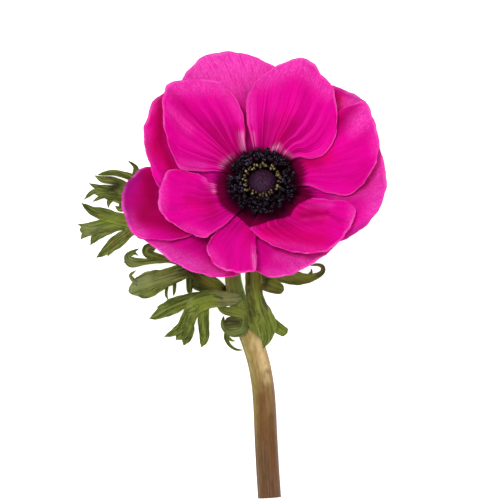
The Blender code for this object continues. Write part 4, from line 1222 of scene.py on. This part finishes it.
# grey, felted places, and on one fold edge a painted highlight
GREY = {
    "leaf_left": ((-30, -31.5, -38, -33.5, 1.8, 0.3), (-40, -32.5, -45, -36.8, 2.6, 0.7),
                  (-43, -28, -45, -26, 2, 0.4), (-60, -16, -55, -15.5, 2.4, 0.4)),
    "leaf_lower": ((-13.6, -39.2, -8.6, -39.2, 2.4, 0.75), (-11, -50.6, -6.5, -49.8, 1.2, 0.35),
                   (-24, -39.6, -23.4, -44, 1.0, 0.5)),
    "leaf_right": ((8, -31.5, 17, -31.5, 1.4, 0.3), (0.6, -42, 2.6, -44, 1.0, 0.3)),
}
RUST = {
    "leaf_left": ((-46.3, -17.8, -46, -18.6, 0.3, 0.8), (-50.5, -20.4, -50, -21.2, 0.3, 0.8),
                  (-52.8, -17.1, -52.2, -17.4, 0.3, 0.7), (-54.5, -11.2, -54.2, -11.6, 0.25, 0.7),
                  (-51.5, 0.6, -51, 0.4, 0.3, 0.7)),
    "leaf_lower": ((-23, -45.2, -22.8, -45.6, 0.3, 0.5),),
}
# painted shade in hollows, folds, a rolled lobe and the gaps between lobes
PAINTED_LEAF_SHADE = {
    "leaf_left": ((-50.3, -2.4, -48.8, -1.6, 1.4, 1.0), (-49.0, -4.0, -48.8, -4.6, 0.6, 0.8),
                  (-51.8, 1.9, -50, 2.2, 0.6, 0.7), (-25, -29.5, -21, -32.5, 2.2, 0.6),
                  (-23, -34, -20, -35.5, 1.6, 0.4), (-12.5, -36, -11, -36.5, 1.5, 0.9)),
    "leaf_lower": ((-12.4, -46.2, -8, -47.2, 1.3, 0.9), (-15.8, -38.3, -13.4, -39.2, 0.5, 0.8),
                   (-26, -49, -24.5, -53, 0.9, 0.4), (-31, -41.2, -27, -40, 0.9, 0.4)),
    "leaf_right": ((-3.8, -47, -2.8, -40.5, 0.9, 0.5), (0.9, -35.2, 1.8, -32.8, 0.9, 0.8),
                   (17.6, -29.8, 18.4, -30.8, 0.6, 0.5)),
}
LEAF_MARKS = {"fresh_and_highlit": FRESH_AND_HIGHLIT, "grey": GREY, "rust": RUST, "dark": PAINTED_LEAF_SHADE}
for mark, leaves in LEAF_MARKS.items():
    print(mark, "marks:", sum(len(places) for places in leaves.values()))

# %% [markdown]
# Each leaf is cut almost to its base into narrow lobes, and each lobe ends in teeth. A leaf
# could be drawn as one outline and bent, but its lobes twist and pass over each other, so every
# lobe is its own strip on a smooth line. The first line of a leaf is its stalk.

# %% Where the lobes of each leaf run
# each lobe is a line of stations: x, y, height, width
LEAVES = {
    "leaf_left": (
        ((-13.3, -36, 8.3, 3.2), (-18, -33.4, 7.0, 5.4), (-23, -29.5, 5.6, 4.5),
         (-29.5, -24, 3.6, 3.8), (-35.5, -18, 1.8, 4), (-40, -14.5, 1.0, 5),
         (-44, -13.8, 0.8, 6)),
        ((-43, -13.6, 0.9, 5), (-48, -12.6, 1.3, 4.2), (-53, -11, 1.2, 4.2),
         (-57, -9.8, 0.8, 3), (-60.7, -7.2, 0.5, 0.7)),
        ((-43, -14, 0.8, 5), (-48, -14.2, 1.1, 4.6), (-53, -14.9, 0.9, 4.4),
         (-58, -16, 0.5, 4.4), (-61.3, -16.2, 0.4, 1.8)),
        ((-57, -15, 0.6, 3), (-59.8, -14.9, 0.5, 1.7), (-61.9, -14.3, 0.4, 0.7)),
        ((-57.5, -16.6, 0.6, 3.2), (-59.6, -17.9, 0.5, 2), (-61, -19.5, 0.4, 0.7)),
        ((-48, -15, 1.0, 3), (-52.5, -16.3, 0.8, 3.6), (-55.6, -18.3, 0.5, 3.2),
         (-57.7, -21.3, 0.4, 0.8)),
        ((-41.5, -14.5, 1.0, 4), (-45, -17.3, 1.3, 3.6), (-48.7, -20.1, 1.4, 4.6),
         (-52, -22.9, 0.9, 3.2), (-55.7, -25.6, 0.4, 0.7)),
        ((-50.3, -22.7, 1.1, 1.8), (-51.9, -25.1, 0.7, 0.7)),
        ((-37, -16.5, 1.6, 4), (-41, -10.5, 1.3, 3.6), (-43.5, -5, 1.2, 5),
         (-45.5, -1.5, 1.6, 4)),
        ((-42.8, -3, 1.4, 3), (-42.6, 1.5, 1.9, 2.4), (-42.3, 4.2, 2.4, 1.9),
         (-43.2, 5.7, 3.0, 1), (-45, 7, 3.6, 0.6)),
        ((-43, -3.5, 1.5, 3), (-43.5, 0.8, 2.6, 2.6), (-46.5, 2.3, 3.4, 2.2),
         (-50, 3.0, 3.4, 2.0), (-53, 2.6, 2.8, 1.4), (-55.2, 2.3, 2.2, 0.6)),
        ((-44, -3.5, 1.4, 3), (-47, -0.7, 1.6, 2.4), (-50.5, 0.4, 1.6, 2.7),
         (-53.6, 0.7, 1.3, 2.2), (-56.3, 2.1, 1.0, 0.6)),
        ((-42.5, -6, 1.3, 6), (-46, -4.5, 1.7, 7), (-50, -3.8, 1.6, 5.5),
         (-53.5, -3.3, 1.1, 4.2), (-56.3, -3.2, 0.8, 2.6)),
        ((-51, -2.6, 1.5, 3), (-55, -1.9, 1.1, 1.8), (-58.2, -0.6, 0.8, 0.6)),
        ((-53, -3.3, 1.2, 3), (-56.5, -3.4, 0.8, 1.8), (-58.4, -4.7, 0.5, 1.1),
         (-59.8, -6.1, 0.4, 0.6)),
        ((-50, -4.8, 1.4, 2.2), (-53.5, -5, 0.9, 1.5), (-57, -6.8, 0.4, 0.6)),
        ((-48.5, -4.5, 1.7, 3), (-50.8, -6, 1.3, 2), (-51.6, -7.6, 0.9, 1.2),
         (-51.5, -8.9, 0.5, 0.6)),
        ((-44, -6, 1.4, 5), (-46, -8, 1.2, 3.6), (-48, -9, 0.8, 2.2), (-49.3, -8.2, 0.6, 0.9)),
        ((-24, -28.6, 5.4, 3.4), (-30, -26.6, 5.6, 1.8), (-35, -26.6, 5.8, 1.8),
         (-40, -27, 5.6, 2.4), (-43.8, -27, 5.0, 3.6), (-45.2, -25.2, 5.2, 2.2),
         (-43.8, -23.9, 6.0, 1.4), (-41.2, -22.5, 6.8, 0.6)),
        ((-43, -28, 4.8, 1.6), (-46.6, -26.9, 4.2, 0.6)),
        ((-44.5, -24.6, 5.6, 1.8), (-42.8, -24, 6.2, 1.2), (-41.5, -24.9, 6.2, 0.6)),
        ((-31, -26.3, 5.8, 2), (-35.5, -25.2, 6.6, 2.6), (-38.4, -24.2, 7.4, 3.0),
         (-38.2, -22.4, 8.4, 3.0), (-35.5, -22.3, 8.8, 2.4)),
        ((-23, -30, 5.6, 3.4), (-28, -30.8, 5.8, 5.4), (-33, -32.7, 6.0, 6.6),
         (-38, -34.4, 5.6, 8.4), (-41.6, -35.8, 4.8, 6.2), (-44.8, -37, 4.0, 1.6)),
        ((-41.5, -34.4, 5.2, 2), (-43.2, -33, 6.2, 1.4), (-44, -31.3, 7.4, 1.1),
         (-42.2, -29.9, 8.2, 0.6)),
        ((-36, -36.5, 5.3, 3.2), (-39, -38.2, 4.5, 2.2), (-42, -38.3, 3.9, 1)),
        ((-31.8, -35, 5.6, 1.2), (-32.1, -38, 4.2, 0.9), (-31.5, -39.7, 3.2, 0.7)),
        ((-29.2, -34, 5.6, 1.4), (-29.4, -36.5, 4.4, 1.1), (-29.7, -38.4, 3.4, 0.8)),
        ((-24, -30, 5.4, 2.4), (-24.3, -33.5, 4.8, 2.2), (-24.3, -37.6, 4.0, 1.8)),
        ((-25.5, -30, 4.6, 2.6), (-22, -33.2, 4.0, 5.4), (-18, -35.4, 4.2, 4.8),
         (-14, -36.4, 4.8, 4.4), (-11, -36.4, 5.4, 2.4)),
    ),
    "leaf_lower": (
        ((-6.8, -38.6, 12.4, 1.6), (-9.2, -39.2, 12.8, 3.8), (-13, -39.3, 12.0, 5.4),
         (-17.5, -39.3, 10.2, 6.6), (-21.5, -40.8, 8.8, 6.2), (-23.6, -43.8, 7.2, 5.2),
         (-25.4, -47.6, 5.6, 5.2), (-26.8, -50.6, 4.2, 4.6), (-28.9, -53.3, 3, 1.2)),
        ((-26, -47.6, 5.4, 3.4), (-29, -50.3, 4.2, 2.6), (-32.9, -52.2, 3, 0.7)),
        ((-24.4, -47.4, 5.6, 4), (-25, -51.4, 4.2, 4), (-26.3, -55.1, 2.8, 1.2)),
        ((-22.5, -41.6, 8.4, 3.2), (-25.2, -43.2, 7.4, 1.8), (-26.2, -44, 6.8, 0.7)),
        ((-19.5, -41, 9.2, 4.4), (-19.6, -45, 7.4, 3.8), (-19.5, -49, 5.8, 3.6),
         (-19.4, -52.6, 4.4, 3.2), (-20.4, -55.8, 3.2, 0.8)),
        ((-19.5, -38.8, 9.2, 4), (-24, -39.6, 7.6, 4.4), (-28.5, -41.2, 6.0, 5.2),
         (-32.5, -43.2, 4.2, 4.8), (-35.3, -45, 3, 2.8), (-37.9, -46.1, 2.2, 0.7)),
        ((-30.5, -40.9, 5.2, 2.2), (-33, -41.6, 4.2, 1.6), (-35.4, -42.3, 3.4, 0.7)),
        ((-14.5, -40.8, 11.2, 2.6), (-12.5, -43.2, 11.4, 2.6), (-9, -43.8, 11.9, 3.2),
         (-5.6, -44.9, 11.8, 2.8), (-5.4, -48, 11.5, 2.4), (-7.4, -50.6, 11.2, 2.6),
         (-10.6, -50.5, 11.2, 2.6), (-12.9, -48.4, 11.4, 1.8), (-12.9, -45.2, 11.8, 1.2)),
        ((-5.8, -46.8, 11.5, 3.2), (-9, -47.3, 11.2, 5), (-12.5, -47.4, 10.8, 3)),
        ((-11.5, -50.4, 10.9, 2.6), (-12, -52.4, 10, 1.6), (-11, -54.6, 9, 1.1),
         (-9, -56.2, 8.4, 0.9), (-6.3, -56.6, 8.2, 0.6)),
        ((-11.8, -52, 10.2, 1.4), (-10.2, -53.2, 9.8, 0.9), (-8.9, -53.5, 9.6, 0.6)),
    ),
    "leaf_right": (
        ((-2.8, -24, 13.0, 4.6), (-2.8, -30, 13.2, 5.6), (-2.7, -36, 13.2, 5.6),
         (-1.8, -41, 13.2, 6.2), (-0.5, -45.3, 12.9, 8.6), (0.8, -48.6, 12.4, 8.6),
         (1.4, -51.4, 11.2, 5), (1.3, -53.4, 10.2, 3), (0.5, -55.9, 9.2, 0.8)),
        ((1.8, -46.6, 12, 4), (5, -48.8, 10.6, 3.8), (8.4, -51, 9, 3.2)),
        ((-2.2, -44, 13.0, 4), (-3.2, -47.2, 12.9, 2.8), (-4.2, -49.8, 12.7, 1)),
        ((-1.5, -36.6, 12.7, 4), (-2.0, -37.5, 11, 3.2), (-3.1, -38.5, 8.8, 2.8)),
        ((-1.5, -33, 12.8, 4), (2, -34.2, 12, 5.5), (5, -35.6, 11, 4.4), (7.4, -36.4, 10.4, 2.4)),
        ((-1, -31.5, 12.8, 3.6), (4, -31.2, 11.2, 4), (8, -32.2, 9.4, 4.2),
         (12, -32.5, 7.6, 4.4), (15.5, -32.5, 6, 3.2), (18.6, -31.6, 4.8, 2.0),
         (20.4, -30.2, 4.6, 1.6), (20.3, -28.6, 4.8, 1.4), (18.6, -27.9, 5.2, 1.0),
         (16.2, -28.2, 5.4, 0.6)),
        ((16, -31.6, 5.6, 1.6), (16.6, -30.3, 6.0, 1.0), (16.5, -29.2, 6.2, 0.6)),
        ((-2, -27, 12.8, 4.2), (4, -22, 10, 4.5), (10, -14, 6, 4.5), (16, -5, 2.4, 5),
         (21, 4, 0.7, 4.6), (24, 12, 0.4, 2)),
        ((8, -17, 7.2, 3), (16, -14, 4, 4), (24, -12, 1.4, 3.4), (30, -11, 0.4, 1)),
        ((12, -11, 4.8, 3.4), (14, 0, 1.4, 4), (13, 9, 0.4, 1.2)),
    ),
}
for leaf, lobes in LEAVES.items():
    print(leaf, "has", len(lobes), "lobes")

# %% [markdown]
# A strip is cupped, grooved along its midrib and ribbed beside it, and its edges waver and wave.
# Its foot is narrower and sunk into the lobe that it grows from, so the joint looks grown. A
# lobe with a narrow last station is drawn in to a point, and a wide one is rounded.

# %% One lobe of a leaf
STRIP_COLUMNS = 16
STRIP_STEP, FEWEST_ROWS = 0.45, 12
LEAF_BLADE, LEAF_RIM, LEAF_RIM_WIDTH = 0.42, 0.16, 0.8
POINTED_BELOW = 1.3  # a last station narrower than this makes a pointed tip
POINTED_TIP, ROUND_TIP = 1.6, 1.0  # lengths of the tips
FOOT_LENGTH, FOOT_SHARE, FOOT_SINK, FOOT_NARROWING = 3.0, 0.3, 0.5, 0.25
CUP, MIDRIB_DEPTH, MIDRIB_REACH, RIB_HEIGHT = 0.15, 0.12, 0.22, 0.10
UV_UNIT = 10  # mm of leaf for one unit of the UV map


def lobe_width(line, to_tip, pointed):
    """The width along a lobe, drawn in to a point or rounded at its tip."""
    left = np.clip(to_tip / (POINTED_TIP if pointed else ROUND_TIP), 0, 1)
    return line[:, 3] * (0.1 + 0.9 * (left ** 0.8 if pointed else (1 - (1 - left) ** 2.6)))


def lobe_strip(stations, rng, first):
    """A creased, wavy strip along its stations, with its layers."""
    stations = np.array(stations, float)
    length = np.linalg.norm(np.diff(stations[:, :3], axis=0), axis=1).sum()
    line = smooth_curve(stations, max(FEWEST_ROWS, round(length / STRIP_STEP)))
    along = np.linspace(0, length, len(line))
    way = np.gradient(line[:, :3], axis=0)
    way /= np.linalg.norm(way, axis=1)[:, None]
    level = np.cross((0, 0, 1.0), way)
    level /= np.linalg.norm(level, axis=1)[:, None]
    up = np.cross(way, level)
    root = np.clip(1 - along / min(FOOT_LENGTH, FOOT_SHARE * length), 0, 1)
    grows = 0.0 if first else 1.0  # the stalk has no foot in another lobe
    width = lobe_width(line, length - along, stations[-1, 3] < POINTED_BELOW)
    width *= 1 - grows * FOOT_NARROWING * root ** 2
    share = along / length
    edges = [ripple(share, rng, ((length / 9.0, 0.035), (length / 3.5, 0.02))) for _ in range(2)]
    waves = [ripple(share, rng, ((length / 12.0, 0.10), (length / 5.0, 0.05))) for _ in range(2)]
    spacing, shift = rng.uniform(0.8, 1.25), rng.uniform(-0.4, 0.4)
    sheet = np.zeros((len(line), STRIP_COLUMNS + 1, 3))
    rib, rim = np.zeros(sheet.shape[:2]), np.zeros(sheet.shape[:2])
    for j, v in enumerate(np.linspace(-1, 1, STRIP_COLUMNS + 1)):
        hand = 0 if v < 0 else 1
        half = width / 2 * (1 + edges[hand] * abs(v))
        away = np.abs(v) * half
        rise = CUP * width * (abs(v) ** 1.5 - 0.4) + width * waves[hand] * abs(v) ** 3
        rise -= MIDRIB_DEPTH * np.exp(-(away / MIDRIB_REACH) ** 2)
        turns = (v * half + shift) / spacing
        rise += RIB_HEIGHT * np.cos(2 * math.pi * turns) * (1 - abs(v)) ** 0.3
        sheet[:, j] = line[:, :3] + level * (v * half)[:, None] + up * rise[:, None]
        sheet[:, j, 2] -= grows * FOOT_SINK * root ** 2
        rib[:, j] = away / np.clip(width / 4, 0.35, 1)
        rim[:, j] = np.minimum(half * (1 - abs(v)), length - along)
    thickness = LEAF_RIM + (LEAF_BLADE - LEAF_RIM) * np.clip(rim / LEAF_RIM_WIDTH, 0, 1)
    points, faces = blade(sheet, thickness)
    points[:, 2] = np.maximum(points[:, 2], 0.0)  # nothing sinks below the table
    across = np.linspace(-0.5, 0.5, STRIP_COLUMNS + 1)[None, :] * width[:, None]
    uv = np.stack([across + rng.uniform(0, 90), np.broadcast_to(
        along[:, None], across.shape) + rng.uniform(0, 90)], axis=2).reshape(-1, 2) / UV_UNIT
    layers = {
        "rib_mm": np.tile(rib.ravel(), 2),
        "tint": np.full(len(points), rng.uniform(0.0, 0.3)),
    }
    return points, faces, np.vstack([uv, uv]), layers


sample_lobe = lobe_strip(LEAVES["leaf_left"][0], random.Random(1), True)
print("the stalk of the left leaf has", len(sample_lobe[1]), "faces")

# %% Grow the leaves
UNDERSIDE = 0.6  # how grey the lower skin is


def grow_leaf(name):
    """The lobes of one leaf as one mesh piece, with its marks."""
    rng = random.Random(name)
    strips = [lobe_strip(stations, rng, k == 0) for k, stations in enumerate(LEAVES[name])]
    points, faces = joined(strips)
    layers = {key: np.concatenate([strip[3][key] for strip in strips]) for key in strips[0][3]}
    for key, table in LEAF_MARKS.items():
        layers[key] = spots(table, name, points)
    under = np.concatenate([np.repeat((0.0, UNDERSIDE), len(strip[0]) // 2) for strip in strips])
    layers["grey"] = np.maximum(layers["grey"], under)
    piece(
        name.replace("leaf", "frond"), points, faces, LEAF_SKIN, [name],
        uv=np.vstack([strip[2] for strip in strips]), layers=layers,
    )


for leaf in LEAVES:
    grow_leaf(leaf)

# %% [markdown]
# ## Stem
#
# The stem is a juicy, ribbed stalk. It is green where it leaves the ruff, straw and tan lower
# down, and brown and bruised towards the cut. So the body colour follows the distance down the
# stem. Green and mauve flanks, bands, fibres and bruises are laid over it, and the cut shows a
# pale pith.

# %% Stem skin
STEM_GREEN, STEM_STRAW, STEM_TAN, STEM_BROWN = "#6c8032", "#9a854c", "#75552f", "#61432b"
GREEN_FLANK, MAUVE_FLANK, PINK_BAND, PALE_BAND = "#8b8846", "#694a39", "#80573f", "#b8a66c"
GLEAM_STRAW, FIBRE_TAN, FIBRE_BROWN, MOTTLE_BROWN = "#dcc48c", "#a5895f", "#482e1c", "#44301e"
STEM_BRUISE, PITH, SHEEN_CREAM = "#65401f", "#a8a070", "#e8dcc8"


def stem_finish(name):
    """Juicy skin: green by the ruff, tan, then brown; green and mauve flanks, bruises, fibres."""
    material, shader = new_finish(
        name, Roughness=0.5, IOR=1.4, Specular_IOR_Level=0.14,
        Sheen_Weight=0.02, Sheen_Roughness=0.5, Sheen_Tint=linear(SHEEN_CREAM),
    )
    # one unit of the UV map is half the way round, 12 mm, and 40 mm along
    fibres = streaks(material, 26, 2.2, 3.0, 0.1)  # 0.5 mm apart
    bands = streaks(material, 5, 1.1, 3.0, 0.1, offset=3.0)  # 2.4 mm wide
    mottle = streaks(material, 12, 14.0, 3.0, 0.4, offset=8.0)  # 1 by 3 mm
    colour = coat(material, STEM_GREEN, STEM_STRAW, ("down_mm", 44.0, 51.0))
    colour = coat(material, colour, STEM_TAN, ("down_mm", 57.0, 74.0))
    colour = coat(material, colour, STEM_BROWN, ("down_mm", 74.0, 96.0))
    colour = coat(material, colour, GREEN_FLANK, "green_side", ("down_mm", 93.0, 66.0, 0.1, 0.85))
    colour = coat(material, colour, MAUVE_FLANK, "mauve_side", ("down_mm", 60.0, 72.0, 0.0, 0.5))
    colour = coat(
        material, colour, PINK_BAND, (bands, 0.48, 0.64), ("down_mm", 46.0, 54.0, 0.0, 0.4))
    colour = coat(
        material, colour, PALE_BAND, (bands, 0.5, 0.34), ("down_mm", 84.0, 60.0, 0.0, 0.4))
    colour = coat(material, colour, GLEAM_STRAW, "gleam", (fibres, 0.75, 0.35, 0.6, 1.0))
    colour = coat(material, colour, FIBRE_TAN, (fibres, 0.54, 0.74), 0.2)
    colour = coat(material, colour, FIBRE_BROWN, (fibres, 0.46, 0.3), 0.25)
    colour = coat(material, colour, MOTTLE_BROWN, (mottle, 0.5, 0.35), 0.25)
    colour = coat(material, colour, STEM_BRUISE, "bruise")
    colour = coat(material, colour, PITH, "pith")
    return complete(material, shader, colour, mottle, fibres, 1.0, strength=0.6, depth_mm=0.2)


STEM_SKIN = stem_finish("ribbed stem skin")
BRUISES = {"stem": ((-0.3, -72, 0.0, -86, 1.2, 0.65), (2.9, -79, 3.6, -97, 0.9, 0.5),
                    (1.6, -63.4, 1.8, -63.8, 0.6, 0.5), (1.7, -67.6, 1.8, -67.9, 0.4, 0.4))}
GLEAMS = {"stem": ((-0.8, -54, 0.8, -62, 1.5, 0.85), (0.8, -62, 1.8, -67, 1.2, 0.6),
                   (-3.0, -52, -3.4, -56, 0.8, 0.4))}
print("stem finish:", STEM_SKIN.name)

# %% [markdown]
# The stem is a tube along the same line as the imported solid, with its foot at the cut and its
# head behind the eye, where it swells into the receptacle that carries the petals. It rests on
# the table, so its underside is pressed a little flat.

# %% The stem's line, from the cut to the bloom
# x, y, height of the middle, radius
STEM_ROUTE = (
    (2.55, -106.2, 3.65, 3.92), (1.9, -96.5, 3.65, 3.90), (1.3, -85.3, 3.65, 3.88),
    (0.8, -74.7, 3.70, 3.85), (0.0, -66.7, 4.10, 3.80), (-1.6, -59.0, 4.80, 3.75),
    (-4.3, -51.0, 5.9, 3.65), (-6.9, -43.5, 7.2, 3.45), (-8.9, -37.0, 8.6, 3.00),
    (-9.8, -30.5, 9.9, 2.70), (-9.0, -23.0, 10.9, 2.65), (-6.2, -15.5, 11.6, 2.65),
    (-2.9, -9.4, 12.9, 2.70), (*head_point(0, 0, -10.2), 2.9),
)
# along the axis of the bloom: height, radius
RECEPTACLE = (
    (-9.6, 3.7), (-9.0, 4.3), (-8.4, 4.6), (-7.9, 4.6), (-7.5, 4.0), (-7.2, 3.6), (0.6, 3.6))
STEM_RINGS, STEM_SIDES = 200, 72
stem_line = np.vstack([
    smooth_curve(STEM_ROUTE, STEM_RINGS),
    [(*head_point(0, 0, height), radius) for height, radius in RECEPTACLE],
])
print("the stem's line has", len(stem_line), "rings")

# %% [markdown]
# The skin of the tube is fluted by fine ribs that turn slowly round it. Its cut end is a shallow
# dish of three rings, because pith shrinks first when a stem dries. Rings that carry their own
# direction do not twist, which a curve with a bevel would.

# %% The tube of the stem
STEM_RIBS, RIB_DEPTH, RIB_TWIST = 11, 0.07, 0.03  # the twist is in radians per mm
STEM_UV_UNIT = 40  # mm of stem for one unit of the UV map


def stem_tube(line, way):
    """The points of the tube, ring by ring, and their UV map."""
    points, uv = [], []
    side = np.array((1.0, 0.0, 0.0))
    travel = 0.0
    for k, (centre, radius, ahead) in enumerate(zip(line[:, :3], line[:, 3], way)):
        side = side - ahead * np.dot(side, ahead)
        side /= np.linalg.norm(side)
        over = np.cross(side, ahead)
        travel += np.linalg.norm(centre - line[max(k - 1, 0), :3])
        depth = RIB_DEPTH if k < STEM_RINGS else 0.0
        for m in range(STEM_SIDES):
            turn = 2 * math.pi * m / STEM_SIDES
            reach = radius + depth * math.sin(STEM_RIBS * turn + RIB_TWIST * travel) - depth
            points.append(centre + reach * (math.cos(turn) * side + math.sin(turn) * over))
            uv.append((abs(turn - math.pi) / math.pi, travel / STEM_UV_UNIT))
    points = np.array(points)
    points[:, 2] = np.maximum(points[:, 2], 0.0)  # pressed flat by the table
    return points, uv


stem_way = np.gradient(stem_line[:, :3], axis=0)
stem_way /= np.linalg.norm(stem_way, axis=1)[:, None]
stem_points, stem_uv = stem_tube(stem_line, stem_way)
print("points of the stem on the table:", int((stem_points[:, 2] == 0).sum()))

# %% Grow the stem
CUT_RINGS = ((0.86, 0.05, 0.75), (0.55, 0.35, 1.0), (0.2, 0.55, 0.8))  # reach, depth, pith
STEM_HALF = 3.9  # half its width


def band(outer, inner):
    """The faces between two rings of the stem's points."""
    following = np.roll(np.arange(STEM_SIDES), -1)
    return [
        (outer[m], outer[n], inner[n], inner[m]) for m, n in zip(range(STEM_SIDES), following)]


def grow_stem(line, way, points, uv):
    """The stem and the receptacle as one mesh piece, with the cut face."""
    down = list(np.repeat(-line[:, 1], STEM_SIDES))
    pith = [0.0] * len(points)
    rings = [list(range(k * STEM_SIDES, (k + 1) * STEM_SIDES)) for k in range(len(line))]
    faces = []
    for ring, following in zip(rings, rings[1:]):
        faces += [(a, d, c, b) for a, b, c, d in band(ring, following)]
    foot, cut = points[rings[0]], [rings[0]]
    for reach, depth, tone in CUT_RINGS:
        cut.append(list(range(len(points), len(points) + STEM_SIDES)))
        points = np.vstack([points, line[0, :3] + way[0] * depth + (foot - line[0, :3]) * reach])
        pith += [tone] * STEM_SIDES
        down += [-line[0, 1]] * STEM_SIDES
        uv = uv + uv[:STEM_SIDES]
    for outer, inner in zip(cut, cut[1:]):
        faces += band(outer, inner)
    faces += [tuple(cut[-1]), tuple(rings[-1])[::-1]]
    # the flanks are measured from the middle of the stem at the same height in plan
    order = np.argsort(line[:STEM_RINGS, 1])
    middle = np.interp(points[:, 1], line[order, 1], line[order, 0])
    aside = (points[:, 0] - middle) / STEM_HALF
    piece(
        "stalk", points, turned_outwards(points, faces), STEM_SKIN, ["stem"], uv=uv,
        layers={
            "down_mm": down, "pith": pith, "bruise": spots(BRUISES, "stem", points),
            "gleam": spots(GLEAMS, "stem", points),
            "green_side": np.clip(-aside - 0.25, 0, 1) ** 0.7,
            "mauve_side": np.clip(aside - 0.3, 0, 1),
        },
    )


grow_stem(stem_line, stem_way, stem_points, stem_uv)

# %% [markdown]
# ## The table, the light and the camera
#
# A white table glows a little, so that it stays clean and white round the flower. The world is
# a soft light from all round, and three lamps hang over the flower: a soft key a little to one
# side, a weak fill opposite, and a tiny spark for the small glints in the eye.

# %% Table
TABLE_HALF = 3.0
TABLE_GAP = 0.0002  # below the flower, so that no face lies in the table
TABLE_GLOW = 0.8

table_mesh = bpy.data.meshes.new("table_top")
corners = [(-1, -1), (1, -1), (1, 1), (-1, 1)]
corners = [(x * TABLE_HALF, y * TABLE_HALF, 0) for x, y in corners]
table_mesh.from_pydata(corners, [], [(0, 1, 2, 3)])
table_mesh.materials.append(new_finish(
    "white paper", Roughness=0.9, Specular_IOR_Level=0.0, Base_Color=(0.9, 0.9, 0.9, 1),
    Emission_Color=(1, 1, 1, 1), Emission_Strength=TABLE_GLOW,
)[0])
table = bpy.data.objects.new("table_top", table_mesh)
bpy.context.scene.collection.objects.link(table)
table.location.z = cad_box[0].z - TABLE_GAP
print("the table is", round(-table.location.z / MM, 1), "mm below the flower")

# %% Light
WORLD_LIGHT = 0.42

world = bpy.data.worlds.new("studio")
world.use_nodes = True
world.node_tree.nodes["Background"].inputs["Color"].default_value = (1, 1, 1, 1)
world.node_tree.nodes["Background"].inputs["Strength"].default_value = WORLD_LIGHT
bpy.context.scene.world = world


def soft_box(name, place, size, watts):
    """A round lamp that faces the flower; its place and size are in metres."""
    light = bpy.data.lights.new(name, "AREA")
    light.shape = "DISK"
    light.size = size
    light.energy = watts
    obj = bpy.data.objects.new(name, light)
    bpy.context.scene.collection.objects.link(obj)
    obj.location = place
    obj.rotation_euler = (-Vector(place)).to_track_quat("-Z", "Y").to_euler()


soft_box("overhead", place=(-0.22, 0.3, 1.38), size=0.45, watts=12.1)
soft_box("fill", place=(0.35, -0.4, 1.3), size=0.8, watts=4.4)
soft_box("spark", place=(-0.3, 0.45, 1.25), size=0.06, watts=1.2)
print("lamps:", ", ".join(light.name for light in bpy.data.lights))

# %% [markdown]
# A long lens looks straight down from far away, so that near and far petals keep their sizes.
# The focal length follows from how wide the view must be at the level of the bloom.

# %% Camera
VIEW_MIDDLE = (-4.0, -23.0)  # the middle of the picture, in plan
VIEW_WIDTH = 166.67
VIEW_LEVEL = 22.0  # the height at which the view is that wide
CAMERA_HEIGHT = 2600.0
SENSOR = 36.0

camera = bpy.data.objects.new("camera", bpy.data.cameras.new("camera"))
bpy.context.scene.collection.objects.link(camera)
camera.data.sensor_width = SENSOR
camera.data.lens = SENSOR * (CAMERA_HEIGHT - VIEW_LEVEL) / VIEW_WIDTH
camera.data.clip_end = 10.0
camera.location = (np.array((*VIEW_MIDDLE, CAMERA_HEIGHT)) + SHIFT) * MM
bpy.context.scene.camera = camera
bpy.context.scene.view_settings.view_transform = "Standard"
print("lens:", round(camera.data.lens), "mm")
